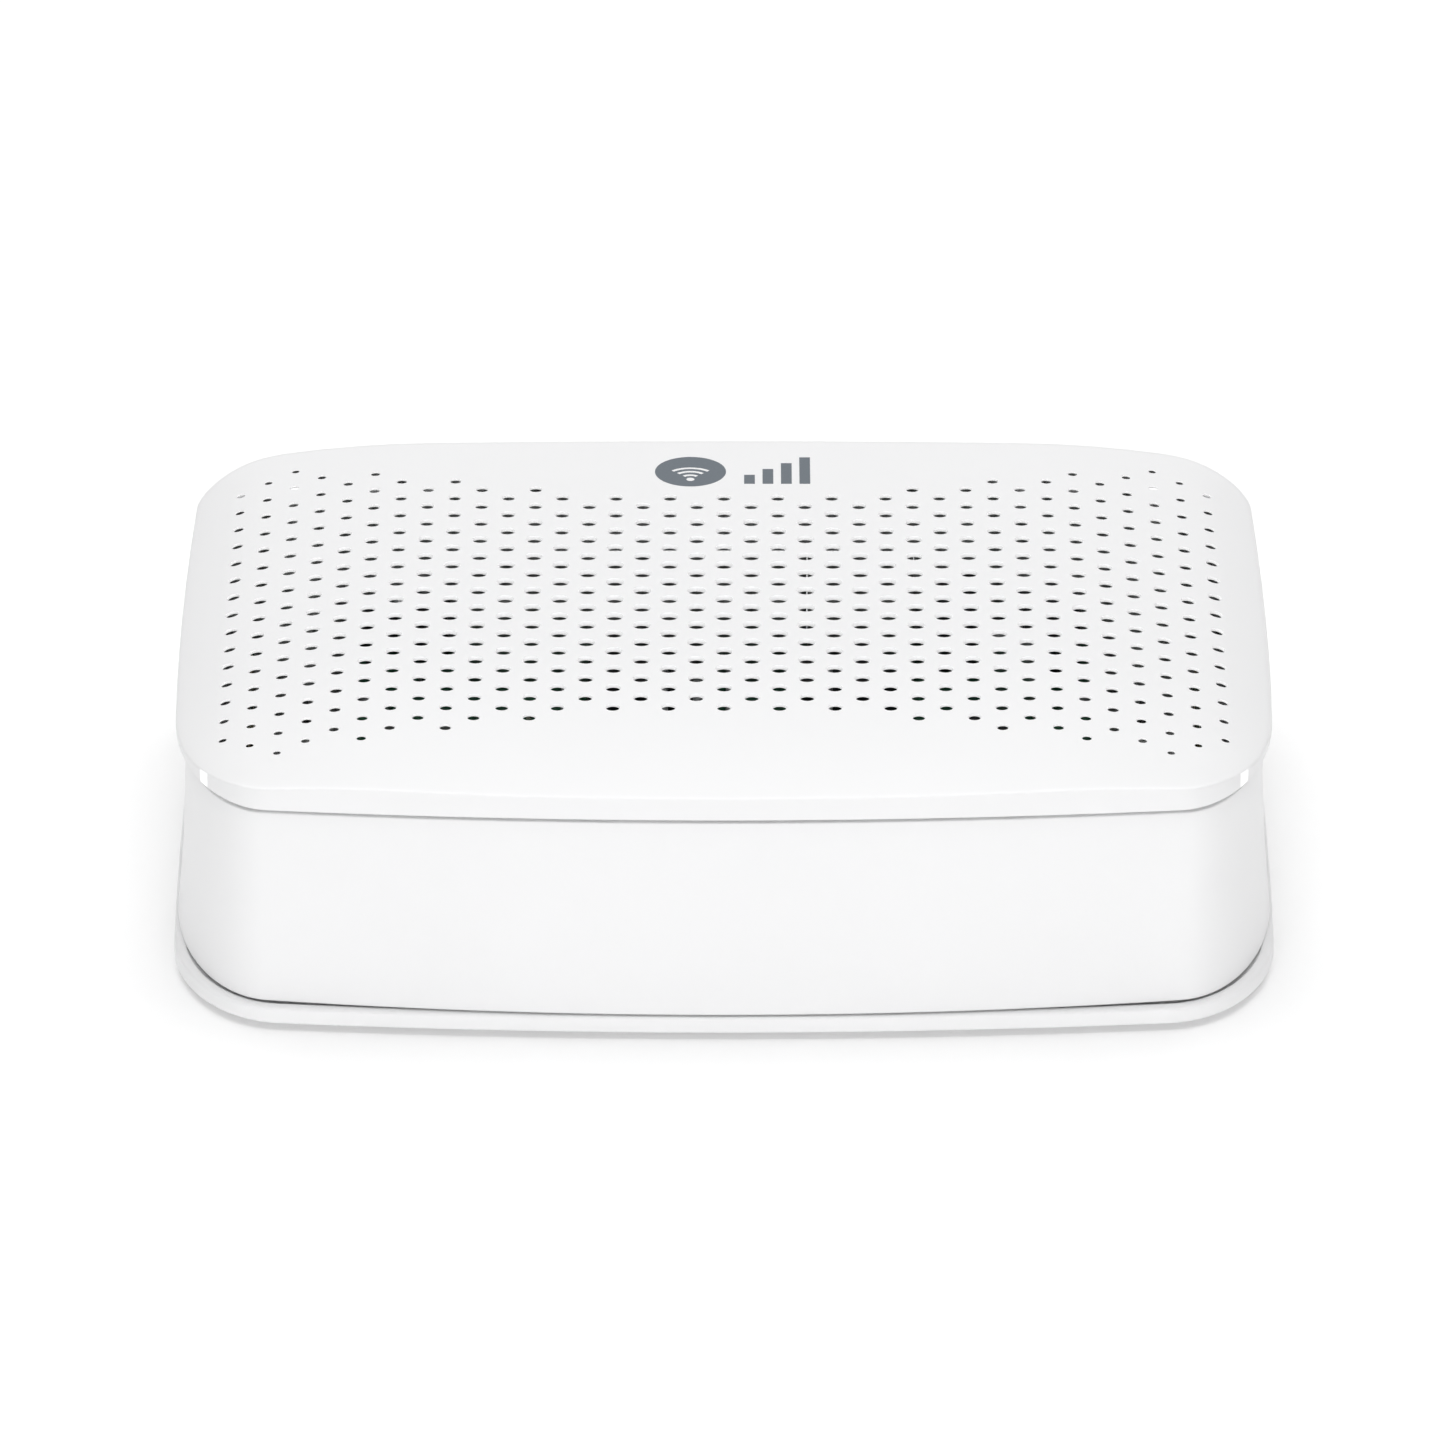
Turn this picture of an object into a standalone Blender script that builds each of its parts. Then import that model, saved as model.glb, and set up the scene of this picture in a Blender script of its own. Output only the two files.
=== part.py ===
"""Wireless router: a low vented desktop case with its sockets at the rear and its board inside.

Metres, +Z up. The origin is at the middle of the footprint on the surface the feet stand on.
The long front faces -Y and the sockets face +Y.
"""

import math

import bmesh
import bpy
from mathutils import Matrix, Vector

# ---- heights of the case, from the table up
BASE_UNDERSIDE = 0.0009
BASE_FLOOR_TOP = 0.0030
BASE_RIM_TOP = 0.0035
BODY_BOTTOM = 0.0038
BODY_TOP = 0.0343
COVER_RIM_BOTTOM = 0.0348
CASE_TOP = 0.0411

# ---- plan outlines: half width, reach to the front and rear, how far each edge bows,
# ---- and the half axes of the elliptical corners
BASE_PLAN = dict(half_width=0.0800, front=0.0590, rear=0.0590, front_bow=0.0046, rear_bow=0.0008,
                 side_bow=0.0006, corner_x=0.0154, corner_front=0.0220, corner_rear=0.0200)
BODY_FOOT_PLAN = dict(half_width=0.07955, front=0.0586, rear=0.0586, front_bow=0.0069, rear_bow=0.0010,
                      side_bow=0.0002, corner_x=0.0137, corner_front=0.0296, corner_rear=0.0220)
BODY_HEAD_PLAN = dict(half_width=0.0782, front=0.0584, rear=0.0575, front_bow=0.0048, rear_bow=0.0019,
                      side_bow=0.0011, corner_x=0.0112, corner_front=0.0254, corner_rear=0.0104)
COVER_PLAN = dict(half_width=0.0796, front=0.0586, rear=0.0590, front_bow=0.0048, rear_bow=0.0021,
                  side_bow=0.0013, corner_x=0.0131, corner_front=0.0276, corner_rear=0.0109)
CORNER_STEPS = 7
FRONT_STEPS = 8
SIDE_STEPS = 2

# ---- shell thicknesses and the crown of the cover
WALL = 0.0020
COVER_SKIN = 0.0020
BASE_RIM_WIDTH = 0.00165
CROWN_SIDE_START = 0.0443
CROWN_SIDE_RATE = 3.0
CROWN_EDGE_START = 0.0687
CROWN_EDGE_RATE = 15.4
CROWN_FRONT_START = 0.0141
CROWN_FRONT_RATE = 1.46
CROWN_FRONT_LOSS = 0.45
COVER_EDGE_RADIUS = 0.0004
COVER_TONGUE_BOTTOM = 0.0326
COVER_TONGUE_INSET = 0.0045
COVER_TONGUE_WIDTH = 0.0012
GAP = 0.0003

# ---- case screws, their bosses and the feet that hide them
CORNER_POSTS = [(-0.064, -0.041), (0.064, -0.041), (-0.064, 0.043), (0.064, 0.043)]
POST_RADIUS = 0.0036
POST_BOTTOM = 0.0038
SCREW_RADIUS = 0.0012
SCREW_BORE_RADIUS = 0.0016
SCREW_LENGTH = 0.0110
SCREW_HEAD_RADIUS = 0.0026
SCREW_HEAD_HEIGHT = 0.0008
FOOT_RADIUS = 0.0060
HEAD_RECESS_DEPTH = 0.0013

# ---- printed circuit board
BOARD_HALF_WIDTH = 0.0570
BOARD_FRONT = -0.0360
BOARD_REAR = 0.0530
BOARD_BOTTOM = 0.0090
BOARD_THICKNESS = 0.0016
BOARD_TOP = BOARD_BOTTOM + BOARD_THICKNESS
ON_BOARD = BOARD_TOP + GAP
STANDOFFS = [(-0.052, -0.031), (0.052, -0.031), (-0.052, 0.030), (0.052, 0.030)]
STANDOFF_RADIUS = 0.0030
BOARD_HOLE_RADIUS = 0.0018
BOARD_SCREW_RADIUS = 0.0011
BOARD_SCREW_BORE = 0.0014
BOARD_SCREW_HEAD = 0.0028
BOARD_SCREW_HEAD_HEIGHT = 0.0018
BOARD_SCREW_LENGTH = 0.0060

# ---- rear row, from the power end to the reset end
PORT_FACE = 0.0560
CUTOUT_MARGIN = 0.0004
POWER_BUTTON_X = 0.0490
POWER_JACK_X = 0.0355
WAN_JACK_X = 0.0205
LAN_JACKS_X = [0.0025, -0.0138, -0.0301]
PAIRING_BUTTON_X = -0.0445
STATUS_LIGHT_X = -0.0500
RESET_X = -0.0545
JACK_SIZE = Vector((0.0159, 0.0180, 0.0134))
JACK_MOUTH_WIDTH = 0.0119
JACK_MOUTH_HEIGHT = 0.0068
JACK_MOUTH_LIFT = 0.0044
JACK_MOUTH_DEPTH = 0.0130
JACK_LATCH_WIDTH = 0.0062
JACK_LATCH_DROP = 0.0022
POWER_JACK_SIZE = Vector((0.0090, 0.0145, 0.0110))
POWER_JACK_BORE = 0.0031
POWER_JACK_BORE_DEPTH = 0.0098
POWER_JACK_PIN_RADIUS = 0.0010
CONTROL_HEIGHT = 0.0165
POWER_CAP_RADIUS = 0.0039
POWER_CAP_END = 0.0586
POWER_TRAVEL = 0.0015
PAIRING_CAP_RADIUS = 0.0024
PAIRING_CAP_END = 0.0576
PAIRING_TRAVEL = 0.0006
RESET_PINHOLE_RADIUS = 0.0008
RESET_PLUNGER_RADIUS = 0.0012
LIGHT_PIPE_RADIUS = 0.0010
FLANGE_FRONT = 0.0530
FLANGE_REAR = 0.0540

# ---- parts on the board
PROCESSOR_CENTRE = Vector((-0.004, -0.004))
PROCESSOR_SIZE = 0.0190
PROCESSOR_HEIGHT = 0.0016
THERMAL_PAD_HEIGHT = 0.0008
HEAT_SINK_SIZE = 0.0400
HEAT_SINK_BASE = 0.0025
HEAT_SINK_HEIGHT = 0.0105
HEAT_SINK_FINS = 9
HEAT_SINK_FIN_WIDTH = 0.0012

# ---- aerials standing along both side walls
AERIAL_X = 0.0705
AERIAL_THICKNESS = 0.0008
AERIAL_LENGTH = 0.0320
AERIAL_BOTTOM = BASE_FLOOR_TOP + GAP
AERIAL_TOP = 0.0240
AERIAL_CENTRES_Y = [-0.0160, 0.0200]
LEAD_RADIUS = 0.00057
PLUG_RADIUS = 0.0011
PLUG_HEIGHT = 0.0012
PLUG_X = 0.0552
PLUG_FIRST_Y = -0.0120
PLUG_PITCH = 0.0200

COLOURS = {
    "shell_white": ((0.88, 0.88, 0.89), 0.38, 0.0),
    "foot_rubber": ((0.10, 0.10, 0.11), 0.85, 0.0),
    "steel": ((0.62, 0.62, 0.64), 0.32, 1.0),
    "board_green": ((0.03, 0.13, 0.07), 0.45, 0.0),
    "chip_black": ((0.025, 0.025, 0.028), 0.50, 0.0),
    "aluminium": ((0.72, 0.73, 0.74), 0.38, 1.0),
    "pad_grey": ((0.35, 0.38, 0.42), 0.80, 0.0),
    "tin_shield": ((0.70, 0.70, 0.68), 0.30, 1.0),
    "socket_grey": ((0.20, 0.20, 0.21), 0.45, 0.0),
    "wan_blue": ((0.05, 0.16, 0.42), 0.45, 0.0),
    "contact_gold": ((0.85, 0.62, 0.25), 0.25, 1.0),
    "button_grey": ((0.42, 0.43, 0.45), 0.45, 0.0),
    "clear_lens": ((0.85, 0.88, 0.90), 0.12, 0.0),
    "lead_black": ((0.03, 0.03, 0.03), 0.45, 0.0),
    "label_paper": ((0.82, 0.82, 0.80), 0.60, 0.0),
}


def clear_scene():
    for item in list(bpy.data.objects):
        bpy.data.objects.remove(item, do_unlink=True)


def material(slot):
    """The slot's Principled material, made the first time it is asked for."""
    found = bpy.data.materials.get(slot)
    if found:
        return found
    colour, roughness, metallic = COLOURS[slot]
    made = bpy.data.materials.new(slot)
    made.use_nodes = True
    shader = made.node_tree.nodes["Principled BSDF"]
    shader.inputs["Base Color"].default_value = (*colour, 1.0)
    shader.inputs["Roughness"].default_value = roughness
    shader.inputs["Metallic"].default_value = metallic
    return made


def node(name, mesh, slot, origin=(0.0, 0.0, 0.0)):
    """Turn a finished bmesh into the named part, with its origin where it moves from."""
    origin = Vector(origin)
    bmesh.ops.translate(mesh, vec=-origin, verts=mesh.verts)
    bmesh.ops.recalc_face_normals(mesh, faces=mesh.faces)
    data = bpy.data.meshes.new(name)
    mesh.to_mesh(data)
    mesh.free()
    data.shade_smooth()
    data.set_sharp_from_angle(angle=math.radians(32))
    data.materials.append(material(slot))
    made = bpy.data.objects.new(name, data)
    made.location = origin
    bpy.context.collection.objects.link(made)
    return made


def combine(target, mesh, operation):
    """Cut the mesh's solids out of the target, or join them to it."""
    tool = node(f"{target.name}_{operation.lower()}_tool", mesh, "shell_white")
    tool.hide_render = True
    tool.display_type = "WIRE"
    boolean = target.modifiers.new(operation.title(), "BOOLEAN")
    boolean.operation = operation
    boolean.solver = "EXACT"
    boolean.object = tool


def add_box(mesh, low, high):
    low, high = Vector(low), Vector(high)
    placed = Matrix.LocRotScale((low + high) / 2, None, high - low)
    return bmesh.ops.create_cube(mesh, size=1.0, matrix=placed)["verts"]


def block(mesh, x, y, z, size):
    """A box centred on x and y, standing on z."""
    return add_box(mesh, (x - size[0] / 2, y - size[1] / 2, z), (x + size[0] / 2, y + size[1] / 2, z + size[2]))


def loft(rings, closed=False):
    """Skin rings of equal point count in order, capped at both ends or run round into the first."""
    mesh = bmesh.new()
    ring = [mesh.verts.new(point) for point in rings[0]]
    first = mesh.faces.new(ring)
    edges = list(first.edges)
    if closed:
        mesh.faces.remove(first)
        rings = rings + rings[:1]
    for points in rings[1:]:
        grown = bmesh.ops.extrude_edge_only(mesh, edges=edges)["geom"]
        fresh = {item for item in grown if isinstance(item, bmesh.types.BMVert)}
        ring = [next(e.other_vert(v) for e in v.link_edges if e.other_vert(v) in fresh) for v in ring]
        edges = [item for item in grown if isinstance(item, bmesh.types.BMEdge)]
        edges = [edge for edge in edges if all(v in fresh for v in edge.verts)]
        for vert, point in zip(ring, points):
            vert.co = point
    if closed:
        bmesh.ops.remove_doubles(mesh, verts=mesh.verts, dist=1e-7)
    else:
        mesh.faces.new(ring)
    return mesh


def circle(centre, radius, sides, axis="Z"):
    """Points of a ring square to Z, or square to Y for what runs through the rear wall."""
    centre = Vector(centre)
    turns = [2 * math.pi * (i + 0.5) / sides for i in range(sides)]
    if axis == "Y":
        return [centre + Vector((radius * math.cos(t), 0, radius * math.sin(t))) for t in turns]
    return [centre + Vector((radius * math.cos(t), radius * math.sin(t), 0)) for t in turns]


def turned(profile, centre, sides, axis="Z"):
    """A round piece from (radius, position along the axis) steps through a centre."""
    along = Vector((0, 1, 0)) if axis == "Y" else Vector((0, 0, 1))
    base = Vector(centre)
    return loft([circle(base + along * place, radius, sides, axis) for radius, place in profile])


def add_turned(mesh, profile, centre, sides, axis="Z"):
    """One more round solid in a tool mesh."""
    solid = turned(profile, centre, sides, axis)
    data = bpy.data.meshes.new("solid")
    solid.to_mesh(data)
    solid.free()
    mesh.from_mesh(data)
    bpy.data.meshes.remove(data)


def add_rod(mesh, centre, radius, low, high, sides, axis="Z"):
    add_turned(mesh, [(radius, low), (radius, high)], centre, sides, axis)


def blend_plan(first, second, share):
    return {key: first[key] + (second[key] - first[key]) * share for key in first}


def plan_points(plan, inset=0.0):
    """The closed outline, counter-clockwise: elliptical corners joined by bowed edges."""
    half = plan["half_width"] - inset
    reach = {-1: plan["front"] - inset, 1: plan["rear"] - inset}
    bow = {-1: plan["front_bow"], 1: plan["rear_bow"]}
    corner_x = max(plan["corner_x"] - inset, 0.001)
    corner_y = {-1: max(plan["corner_front"] - inset, 0.001), 1: max(plan["corner_rear"] - inset, 0.001)}
    points = []

    def corner(side_x, side_y, start):
        for i in range(CORNER_STEPS + 1):
            turn = start + math.pi / 2 * i / CORNER_STEPS
            x = side_x * (half - corner_x) + corner_x * math.cos(turn)
            y = side_y * (reach[side_y] - corner_y[side_y]) + corner_y[side_y] * math.sin(turn)
            points.append((x, y))

    def edge(steps):
        start = points[-1]
        mirrored = (-start[0], start[1])
        target = mirrored if steps == FRONT_STEPS else (start[0], side_end[1])
        for i in range(1, steps):
            share = i / steps
            points.append(tuple(a + (b - a) * share for a, b in zip(start, target)))

    corner(1, 1, 0.0)
    edge(FRONT_STEPS)
    corner(-1, 1, math.pi / 2)
    side_end = (-half, corner_y[-1] - reach[-1])
    edge(SIDE_STEPS)
    corner(-1, -1, math.pi)
    edge(FRONT_STEPS)
    corner(1, -1, math.pi * 1.5)
    side_end = (half, reach[1] - corner_y[1])
    edge(SIDE_STEPS)

    bowed = []
    for x, y in points:
        end = 1 if y > 0 else -1
        weight = min(1.0, abs(y) / (reach[end] - corner_y[end]))
        pulled_y = y - end * bow[end] * weight * (x / half) ** 2
        pulled_x = x - math.copysign(plan["side_bow"], x) * (y / reach[end]) ** 2
        bowed.append(Vector((pulled_x, pulled_y, 0.0)))
    return bowed


def level(plan, inset, z):
    """The outline at one height."""
    return [Vector((p.x, p.y, z)) for p in plan_points(plan, inset)]


def crown(x, y):
    """Height of the cover's outer skin: flat in the middle, falling to the sides and the front."""
    side = max(0.0, abs(x) - CROWN_SIDE_START)
    edge = max(0.0, abs(x) - CROWN_EDGE_START)
    front = max(0.0, -y - CROWN_FRONT_START)
    front_share = 1.0 - CROWN_FRONT_LOSS * min(1.0, (abs(x) / CROWN_EDGE_START) ** 4)
    fall = CROWN_SIDE_RATE * side ** 2 + CROWN_EDGE_RATE * edge ** 2
    return CASE_TOP - fall - CROWN_FRONT_RATE * front ** 2 * front_share


def crown_ring(scale, inset, drop):
    """A ring of the cover's skin, shrunk towards the middle and lowered from the crown."""
    ring = []
    for p in plan_points(COVER_PLAN, inset):
        x, y = p.x * scale, p.y * scale
        ring.append(Vector((x, y, crown(x, y) - drop)))
    return ring


def body_plan(z):
    """The body flares outwards towards its foot, faster the lower it gets."""
    share = (BODY_TOP - z) / (BODY_TOP - BODY_BOTTOM)
    return blend_plan(BODY_HEAD_PLAN, BODY_FOOT_PLAN, share ** 2)


def make_cover():
    outer = [crown_ring(s, 0.0, 0.0) for s in (0.48, 0.66, 0.80, 0.90, 0.965)]
    fillet = [crown_ring(1.0, COVER_EDGE_RADIUS, 0.0001), crown_ring(1.0, 0.0, COVER_EDGE_RADIUS)]
    inner_edge = COVER_TONGUE_INSET + COVER_TONGUE_WIDTH
    rim = [
        level(COVER_PLAN, 0.0, COVER_RIM_BOTTOM),
        level(COVER_PLAN, COVER_TONGUE_INSET, COVER_RIM_BOTTOM),
        level(COVER_PLAN, COVER_TONGUE_INSET, COVER_TONGUE_BOTTOM),
        level(COVER_PLAN, inner_edge, COVER_TONGUE_BOTTOM),
    ]
    under = [crown_ring(s, inner_edge, COVER_SKIN) for s in (1.0, 0.88, 0.70, 0.50)]
    cover = node("top_cover", loft(outer + fillet + rim + under), "shell_white")
    posts = bmesh.new()
    bores = bmesh.new()
    for x, y in CORNER_POSTS:
        roof = crown(x, y) - COVER_SKIN / 2
        add_rod(posts, (x, y, 0), POST_RADIUS, POST_BOTTOM, roof, 12)
        add_rod(bores, (x, y, 0), SCREW_BORE_RADIUS, POST_BOTTOM - 0.001, POST_BOTTOM + SCREW_LENGTH + 0.002, 8)
    combine(cover, posts, "UNION")
    combine(cover, bores, "DIFFERENCE")


def rear_cutouts():
    """Solids that pass through the rear wall for every socket and control."""
    tool = bmesh.new()
    start, end = PORT_FACE - 0.008, PORT_FACE + 0.008
    half = JACK_SIZE.x / 2 + CUTOUT_MARGIN
    for first, last in [(WAN_JACK_X, WAN_JACK_X), (LAN_JACKS_X[-1], LAN_JACKS_X[0])]:
        low = (first - half, start, ON_BOARD - CUTOUT_MARGIN)
        add_box(tool, low, (last + half, end, ON_BOARD + JACK_SIZE.z + CUTOUT_MARGIN))
    half = POWER_JACK_SIZE.x / 2 + CUTOUT_MARGIN
    low = (POWER_JACK_X - half, start, ON_BOARD - CUTOUT_MARGIN)
    add_box(tool, low, (POWER_JACK_X + half, end, ON_BOARD + POWER_JACK_SIZE.z + CUTOUT_MARGIN))
    rounds = [
        (POWER_BUTTON_X, POWER_CAP_RADIUS + CUTOUT_MARGIN, 16),
        (PAIRING_BUTTON_X, PAIRING_CAP_RADIUS + CUTOUT_MARGIN, 12),
        (STATUS_LIGHT_X, LIGHT_PIPE_RADIUS + GAP, 10),
        (RESET_X, RESET_PINHOLE_RADIUS, 10),
    ]
    for x, radius, sides in rounds:
        add_rod(tool, (x, 0, CONTROL_HEIGHT), radius, start, end, sides, "Y")
    return tool


def make_body():
    heights = [BODY_BOTTOM, 0.0085, 0.0145, 0.0225, BODY_TOP - 0.0006]
    outer = [level(body_plan(z), 0.0, z) for z in heights]
    lip = [level(body_plan(BODY_TOP), 0.0006, BODY_TOP), level(body_plan(BODY_TOP), WALL, BODY_TOP)]
    inner = [level(body_plan(z), WALL, z) for z in (0.0180, 0.0100, BODY_BOTTOM)]
    body = node("body_shell", loft(outer + lip + inner, closed=True), "shell_white")
    combine(body, rear_cutouts(), "DIFFERENCE")


def make_base():
    rings = [
        level(BASE_PLAN, 0.0009, BASE_UNDERSIDE),
        level(BASE_PLAN, 0.0002, BASE_UNDERSIDE + 0.0006),
        level(BASE_PLAN, 0.0, BASE_UNDERSIDE + 0.0014),
        level(BASE_PLAN, 0.0, BASE_RIM_TOP - 0.0003),
        level(BASE_PLAN, 0.0003, BASE_RIM_TOP),
        level(BASE_PLAN, BASE_RIM_WIDTH, BASE_RIM_TOP),
        level(BASE_PLAN, BASE_RIM_WIDTH, BASE_FLOOR_TOP),
    ]
    base = node("base_plate", loft(rings), "shell_white")
    raised = bmesh.new()
    sunk = bmesh.new()
    floor_middle = (BASE_UNDERSIDE + BASE_FLOOR_TOP) / 2
    for x, y in STANDOFFS:
        add_rod(raised, (x, y, 0), STANDOFF_RADIUS, floor_middle, BOARD_BOTTOM - GAP, 12)
        add_rod(sunk, (x, y, 0), BOARD_SCREW_BORE, BASE_FLOOR_TOP + 0.0004, BOARD_BOTTOM + 0.001, 8)
    for side in (-1, 1):
        for y in AERIAL_CENTRES_Y:
            inner = side * (AERIAL_X - AERIAL_THICKNESS / 2 - GAP - 0.0012)
            outer = side * (AERIAL_X - AERIAL_THICKNESS / 2 - GAP)
            low = (min(inner, outer), y - 0.005, floor_middle)
            add_box(raised, low, (max(inner, outer), y + 0.005, 0.0120))
    for x, y in CORNER_POSTS:
        seat = BASE_UNDERSIDE + HEAD_RECESS_DEPTH
        recess = SCREW_HEAD_RADIUS + GAP
        stepped = [(recess, 0.0), (recess, seat), (SCREW_BORE_RADIUS, seat), (SCREW_BORE_RADIUS, 0.006)]
        add_turned(sunk, stepped, (x, y, 0), 12)
    for row in range(2):
        for column in range(7):
            x = (column - 3) * 0.0120
            y = -0.0250 + row * 0.0300
            add_box(sunk, (x - 0.001, y, 0.0), (x + 0.001, y + 0.0200, 0.0050))
    combine(base, raised, "UNION")
    combine(base, sunk, "DIFFERENCE")


def make_feet_and_screws():
    for number, (x, y) in enumerate(CORNER_POSTS, 1):
        top = BASE_UNDERSIDE - GAP
        profile = [(FOOT_RADIUS - 0.0003, 0.0), (FOOT_RADIUS, 0.0003), (FOOT_RADIUS, top)]
        node(f"foot_{number}", turned(profile, (x, y, 0), 20), "foot_rubber")
        seat = BASE_UNDERSIDE + HEAD_RECESS_DEPTH - GAP
        profile = [
            (SCREW_HEAD_RADIUS, seat - SCREW_HEAD_HEIGHT),
            (SCREW_HEAD_RADIUS, seat),
            (SCREW_RADIUS, seat),
            (SCREW_RADIUS, seat + SCREW_LENGTH),
        ]
        node(f"case_screw_{number}", turned(profile, (x, y, 0), 10), "steel")


def make_board():
    mesh = bmesh.new()
    add_box(mesh, (-BOARD_HALF_WIDTH, BOARD_FRONT, BOARD_BOTTOM), (BOARD_HALF_WIDTH, BOARD_REAR, BOARD_TOP))
    board = node("main_board", mesh, "board_green")
    holes = bmesh.new()
    for x, y in STANDOFFS:
        add_rod(holes, (x, y, 0), BOARD_HOLE_RADIUS, BOARD_BOTTOM - 0.001, BOARD_TOP + 0.001, 12)
    combine(board, holes, "DIFFERENCE")
    for number, (x, y) in enumerate(STANDOFFS, 1):
        head_top = ON_BOARD + BOARD_SCREW_HEAD_HEIGHT
        profile = [
            (BOARD_SCREW_RADIUS, ON_BOARD - BOARD_SCREW_LENGTH),
            (BOARD_SCREW_RADIUS, ON_BOARD),
            (BOARD_SCREW_HEAD, ON_BOARD),
            (BOARD_SCREW_HEAD, head_top - 0.0006),
            (BOARD_SCREW_HEAD - 0.0008, head_top),
        ]
        node(f"board_screw_{number}", turned(profile, (x, y, 0), 10), "steel")


def make_heat_sink():
    """An extruded comb on a soft pad on the processor."""
    x, y = PROCESSOR_CENTRE
    chip = bmesh.new()
    block(chip, x, y, ON_BOARD, (PROCESSOR_SIZE, PROCESSOR_SIZE, PROCESSOR_HEIGHT))
    node("processor_chip", chip, "chip_black")
    pad_bottom = ON_BOARD + PROCESSOR_HEIGHT + GAP
    pad = bmesh.new()
    block(pad, x, y, pad_bottom, (PROCESSOR_SIZE, PROCESSOR_SIZE, THERMAL_PAD_HEIGHT))
    node("thermal_pad", pad, "pad_grey")

    bottom = pad_bottom + THERMAL_PAD_HEIGHT + GAP
    floor, top = bottom + HEAT_SINK_BASE, bottom + HEAT_SINK_HEIGHT
    left = x - HEAT_SINK_SIZE / 2
    pitch = (HEAT_SINK_SIZE - HEAT_SINK_FIN_WIDTH) / (HEAT_SINK_FINS - 1)
    comb = [(left + HEAT_SINK_SIZE, bottom), (left, bottom)]
    for fin in range(HEAT_SINK_FINS):
        start = left + fin * pitch
        end = start + HEAT_SINK_FIN_WIDTH
        if fin > 0:
            comb.append((start, floor))
        comb += [(start, top), (end, top)]
        if fin < HEAT_SINK_FINS - 1:
            comb.append((end, floor))
    ends = (y - HEAT_SINK_SIZE / 2, y + HEAT_SINK_SIZE / 2)
    node("heat_sink", loft([[Vector((px, py, pz)) for px, pz in comb] for py in ends]), "aluminium")


def make_board_parts():
    """Everything else soldered to the board's top face: centre, size and slot of each."""
    parts = {
        "memory_chip": ((0.0300, -0.0060), (0.0090, 0.0130, 0.0012), "chip_black"),
        "flash_chip": ((0.0300, -0.0240), (0.0080, 0.0060, 0.0016), "chip_black"),
        "radio_shield_low_band": ((-0.0420, 0.0060), (0.0220, 0.0260, 0.0030), "tin_shield"),
        "radio_shield_high_band": ((-0.0420, -0.0200), (0.0120, 0.0200, 0.0030), "tin_shield"),
        "network_transformer_1": ((0.0180, 0.0300), (0.0170, 0.0110, 0.0060), "chip_black"),
        "network_transformer_2": ((-0.0120, 0.0300), (0.0170, 0.0110, 0.0060), "chip_black"),
        "power_inductor": ((0.0400, 0.0160), (0.0080, 0.0080, 0.0042), "chip_black"),
    }
    for name, ((x, y), size, slot) in parts.items():
        mesh = bmesh.new()
        block(mesh, x, y, ON_BOARD, size)
        rim = [edge for edge in mesh.edges if all(v.co.z > ON_BOARD + size[2] / 2 for v in edge.verts)]
        bmesh.ops.bevel(mesh, geom=rim, offset=0.0003, segments=1, affect="EDGES")
        node(name, mesh, slot)
    for number, y in enumerate((0.0310, -0.0080), 1):
        x = 0.0430
        profile = [(0.0040, ON_BOARD), (0.0040, ON_BOARD + 0.0102), (0.0036, ON_BOARD + 0.0106)]
        node(f"power_capacitor_{number}", turned(profile, (x, y, 0), 14), "aluminium")


def make_network_jack(name, x, slot):
    """A shielded eight-way socket: a box with a keyed mouth, and the contact block inside it."""
    half = JACK_SIZE.x / 2
    mesh = bmesh.new()
    add_box(mesh, (x - half, PORT_FACE - JACK_SIZE.y, ON_BOARD), (x + half, PORT_FACE, ON_BOARD + JACK_SIZE.z))
    jack = node(name, mesh, slot)
    low_z = ON_BOARD + JACK_MOUTH_LIFT
    back = PORT_FACE - JACK_MOUTH_DEPTH
    half_mouth, half_latch = JACK_MOUTH_WIDTH / 2, JACK_LATCH_WIDTH / 2
    keyed = [
        (-half_mouth, low_z), (-half_latch, low_z), (-half_latch, low_z - JACK_LATCH_DROP),
        (half_latch, low_z - JACK_LATCH_DROP), (half_latch, low_z), (half_mouth, low_z),
        (half_mouth, low_z + JACK_MOUTH_HEIGHT), (-half_mouth, low_z + JACK_MOUTH_HEIGHT),
    ]
    rings = [[Vector((x + px, py, pz)) for px, pz in keyed] for py in (back, PORT_FACE + 0.001)]
    combine(jack, loft(rings), "DIFFERENCE")
    contacts = bmesh.new()
    top = low_z + JACK_MOUTH_HEIGHT - GAP
    add_box(contacts, (x - 0.0045, back + GAP, top - 0.0026), (x + 0.0045, back + 0.0032, top))
    node(f"{name}_contacts", contacts, "contact_gold")


def make_power_jack():
    axis = (POWER_JACK_X, 0, ON_BOARD + POWER_JACK_SIZE.z / 2)
    half = POWER_JACK_SIZE.x / 2
    mesh = bmesh.new()
    low = (POWER_JACK_X - half, PORT_FACE - POWER_JACK_SIZE.y, ON_BOARD)
    add_box(mesh, low, (POWER_JACK_X + half, PORT_FACE, ON_BOARD + POWER_JACK_SIZE.z))
    jack = node("power_jack", mesh, "socket_grey")
    bore = bmesh.new()
    bottom = PORT_FACE - POWER_JACK_BORE_DEPTH
    add_rod(bore, axis, POWER_JACK_BORE, bottom, PORT_FACE + 0.001, 16, "Y")
    combine(jack, bore, "DIFFERENCE")
    profile = [
        (POWER_JACK_PIN_RADIUS, bottom + GAP),
        (POWER_JACK_PIN_RADIUS, PORT_FACE - 0.0012),
        (POWER_JACK_PIN_RADIUS * 0.6, PORT_FACE - 0.0006),
    ]
    node("power_jack_pin", turned(profile, axis, 10, "Y"), "steel")


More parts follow.
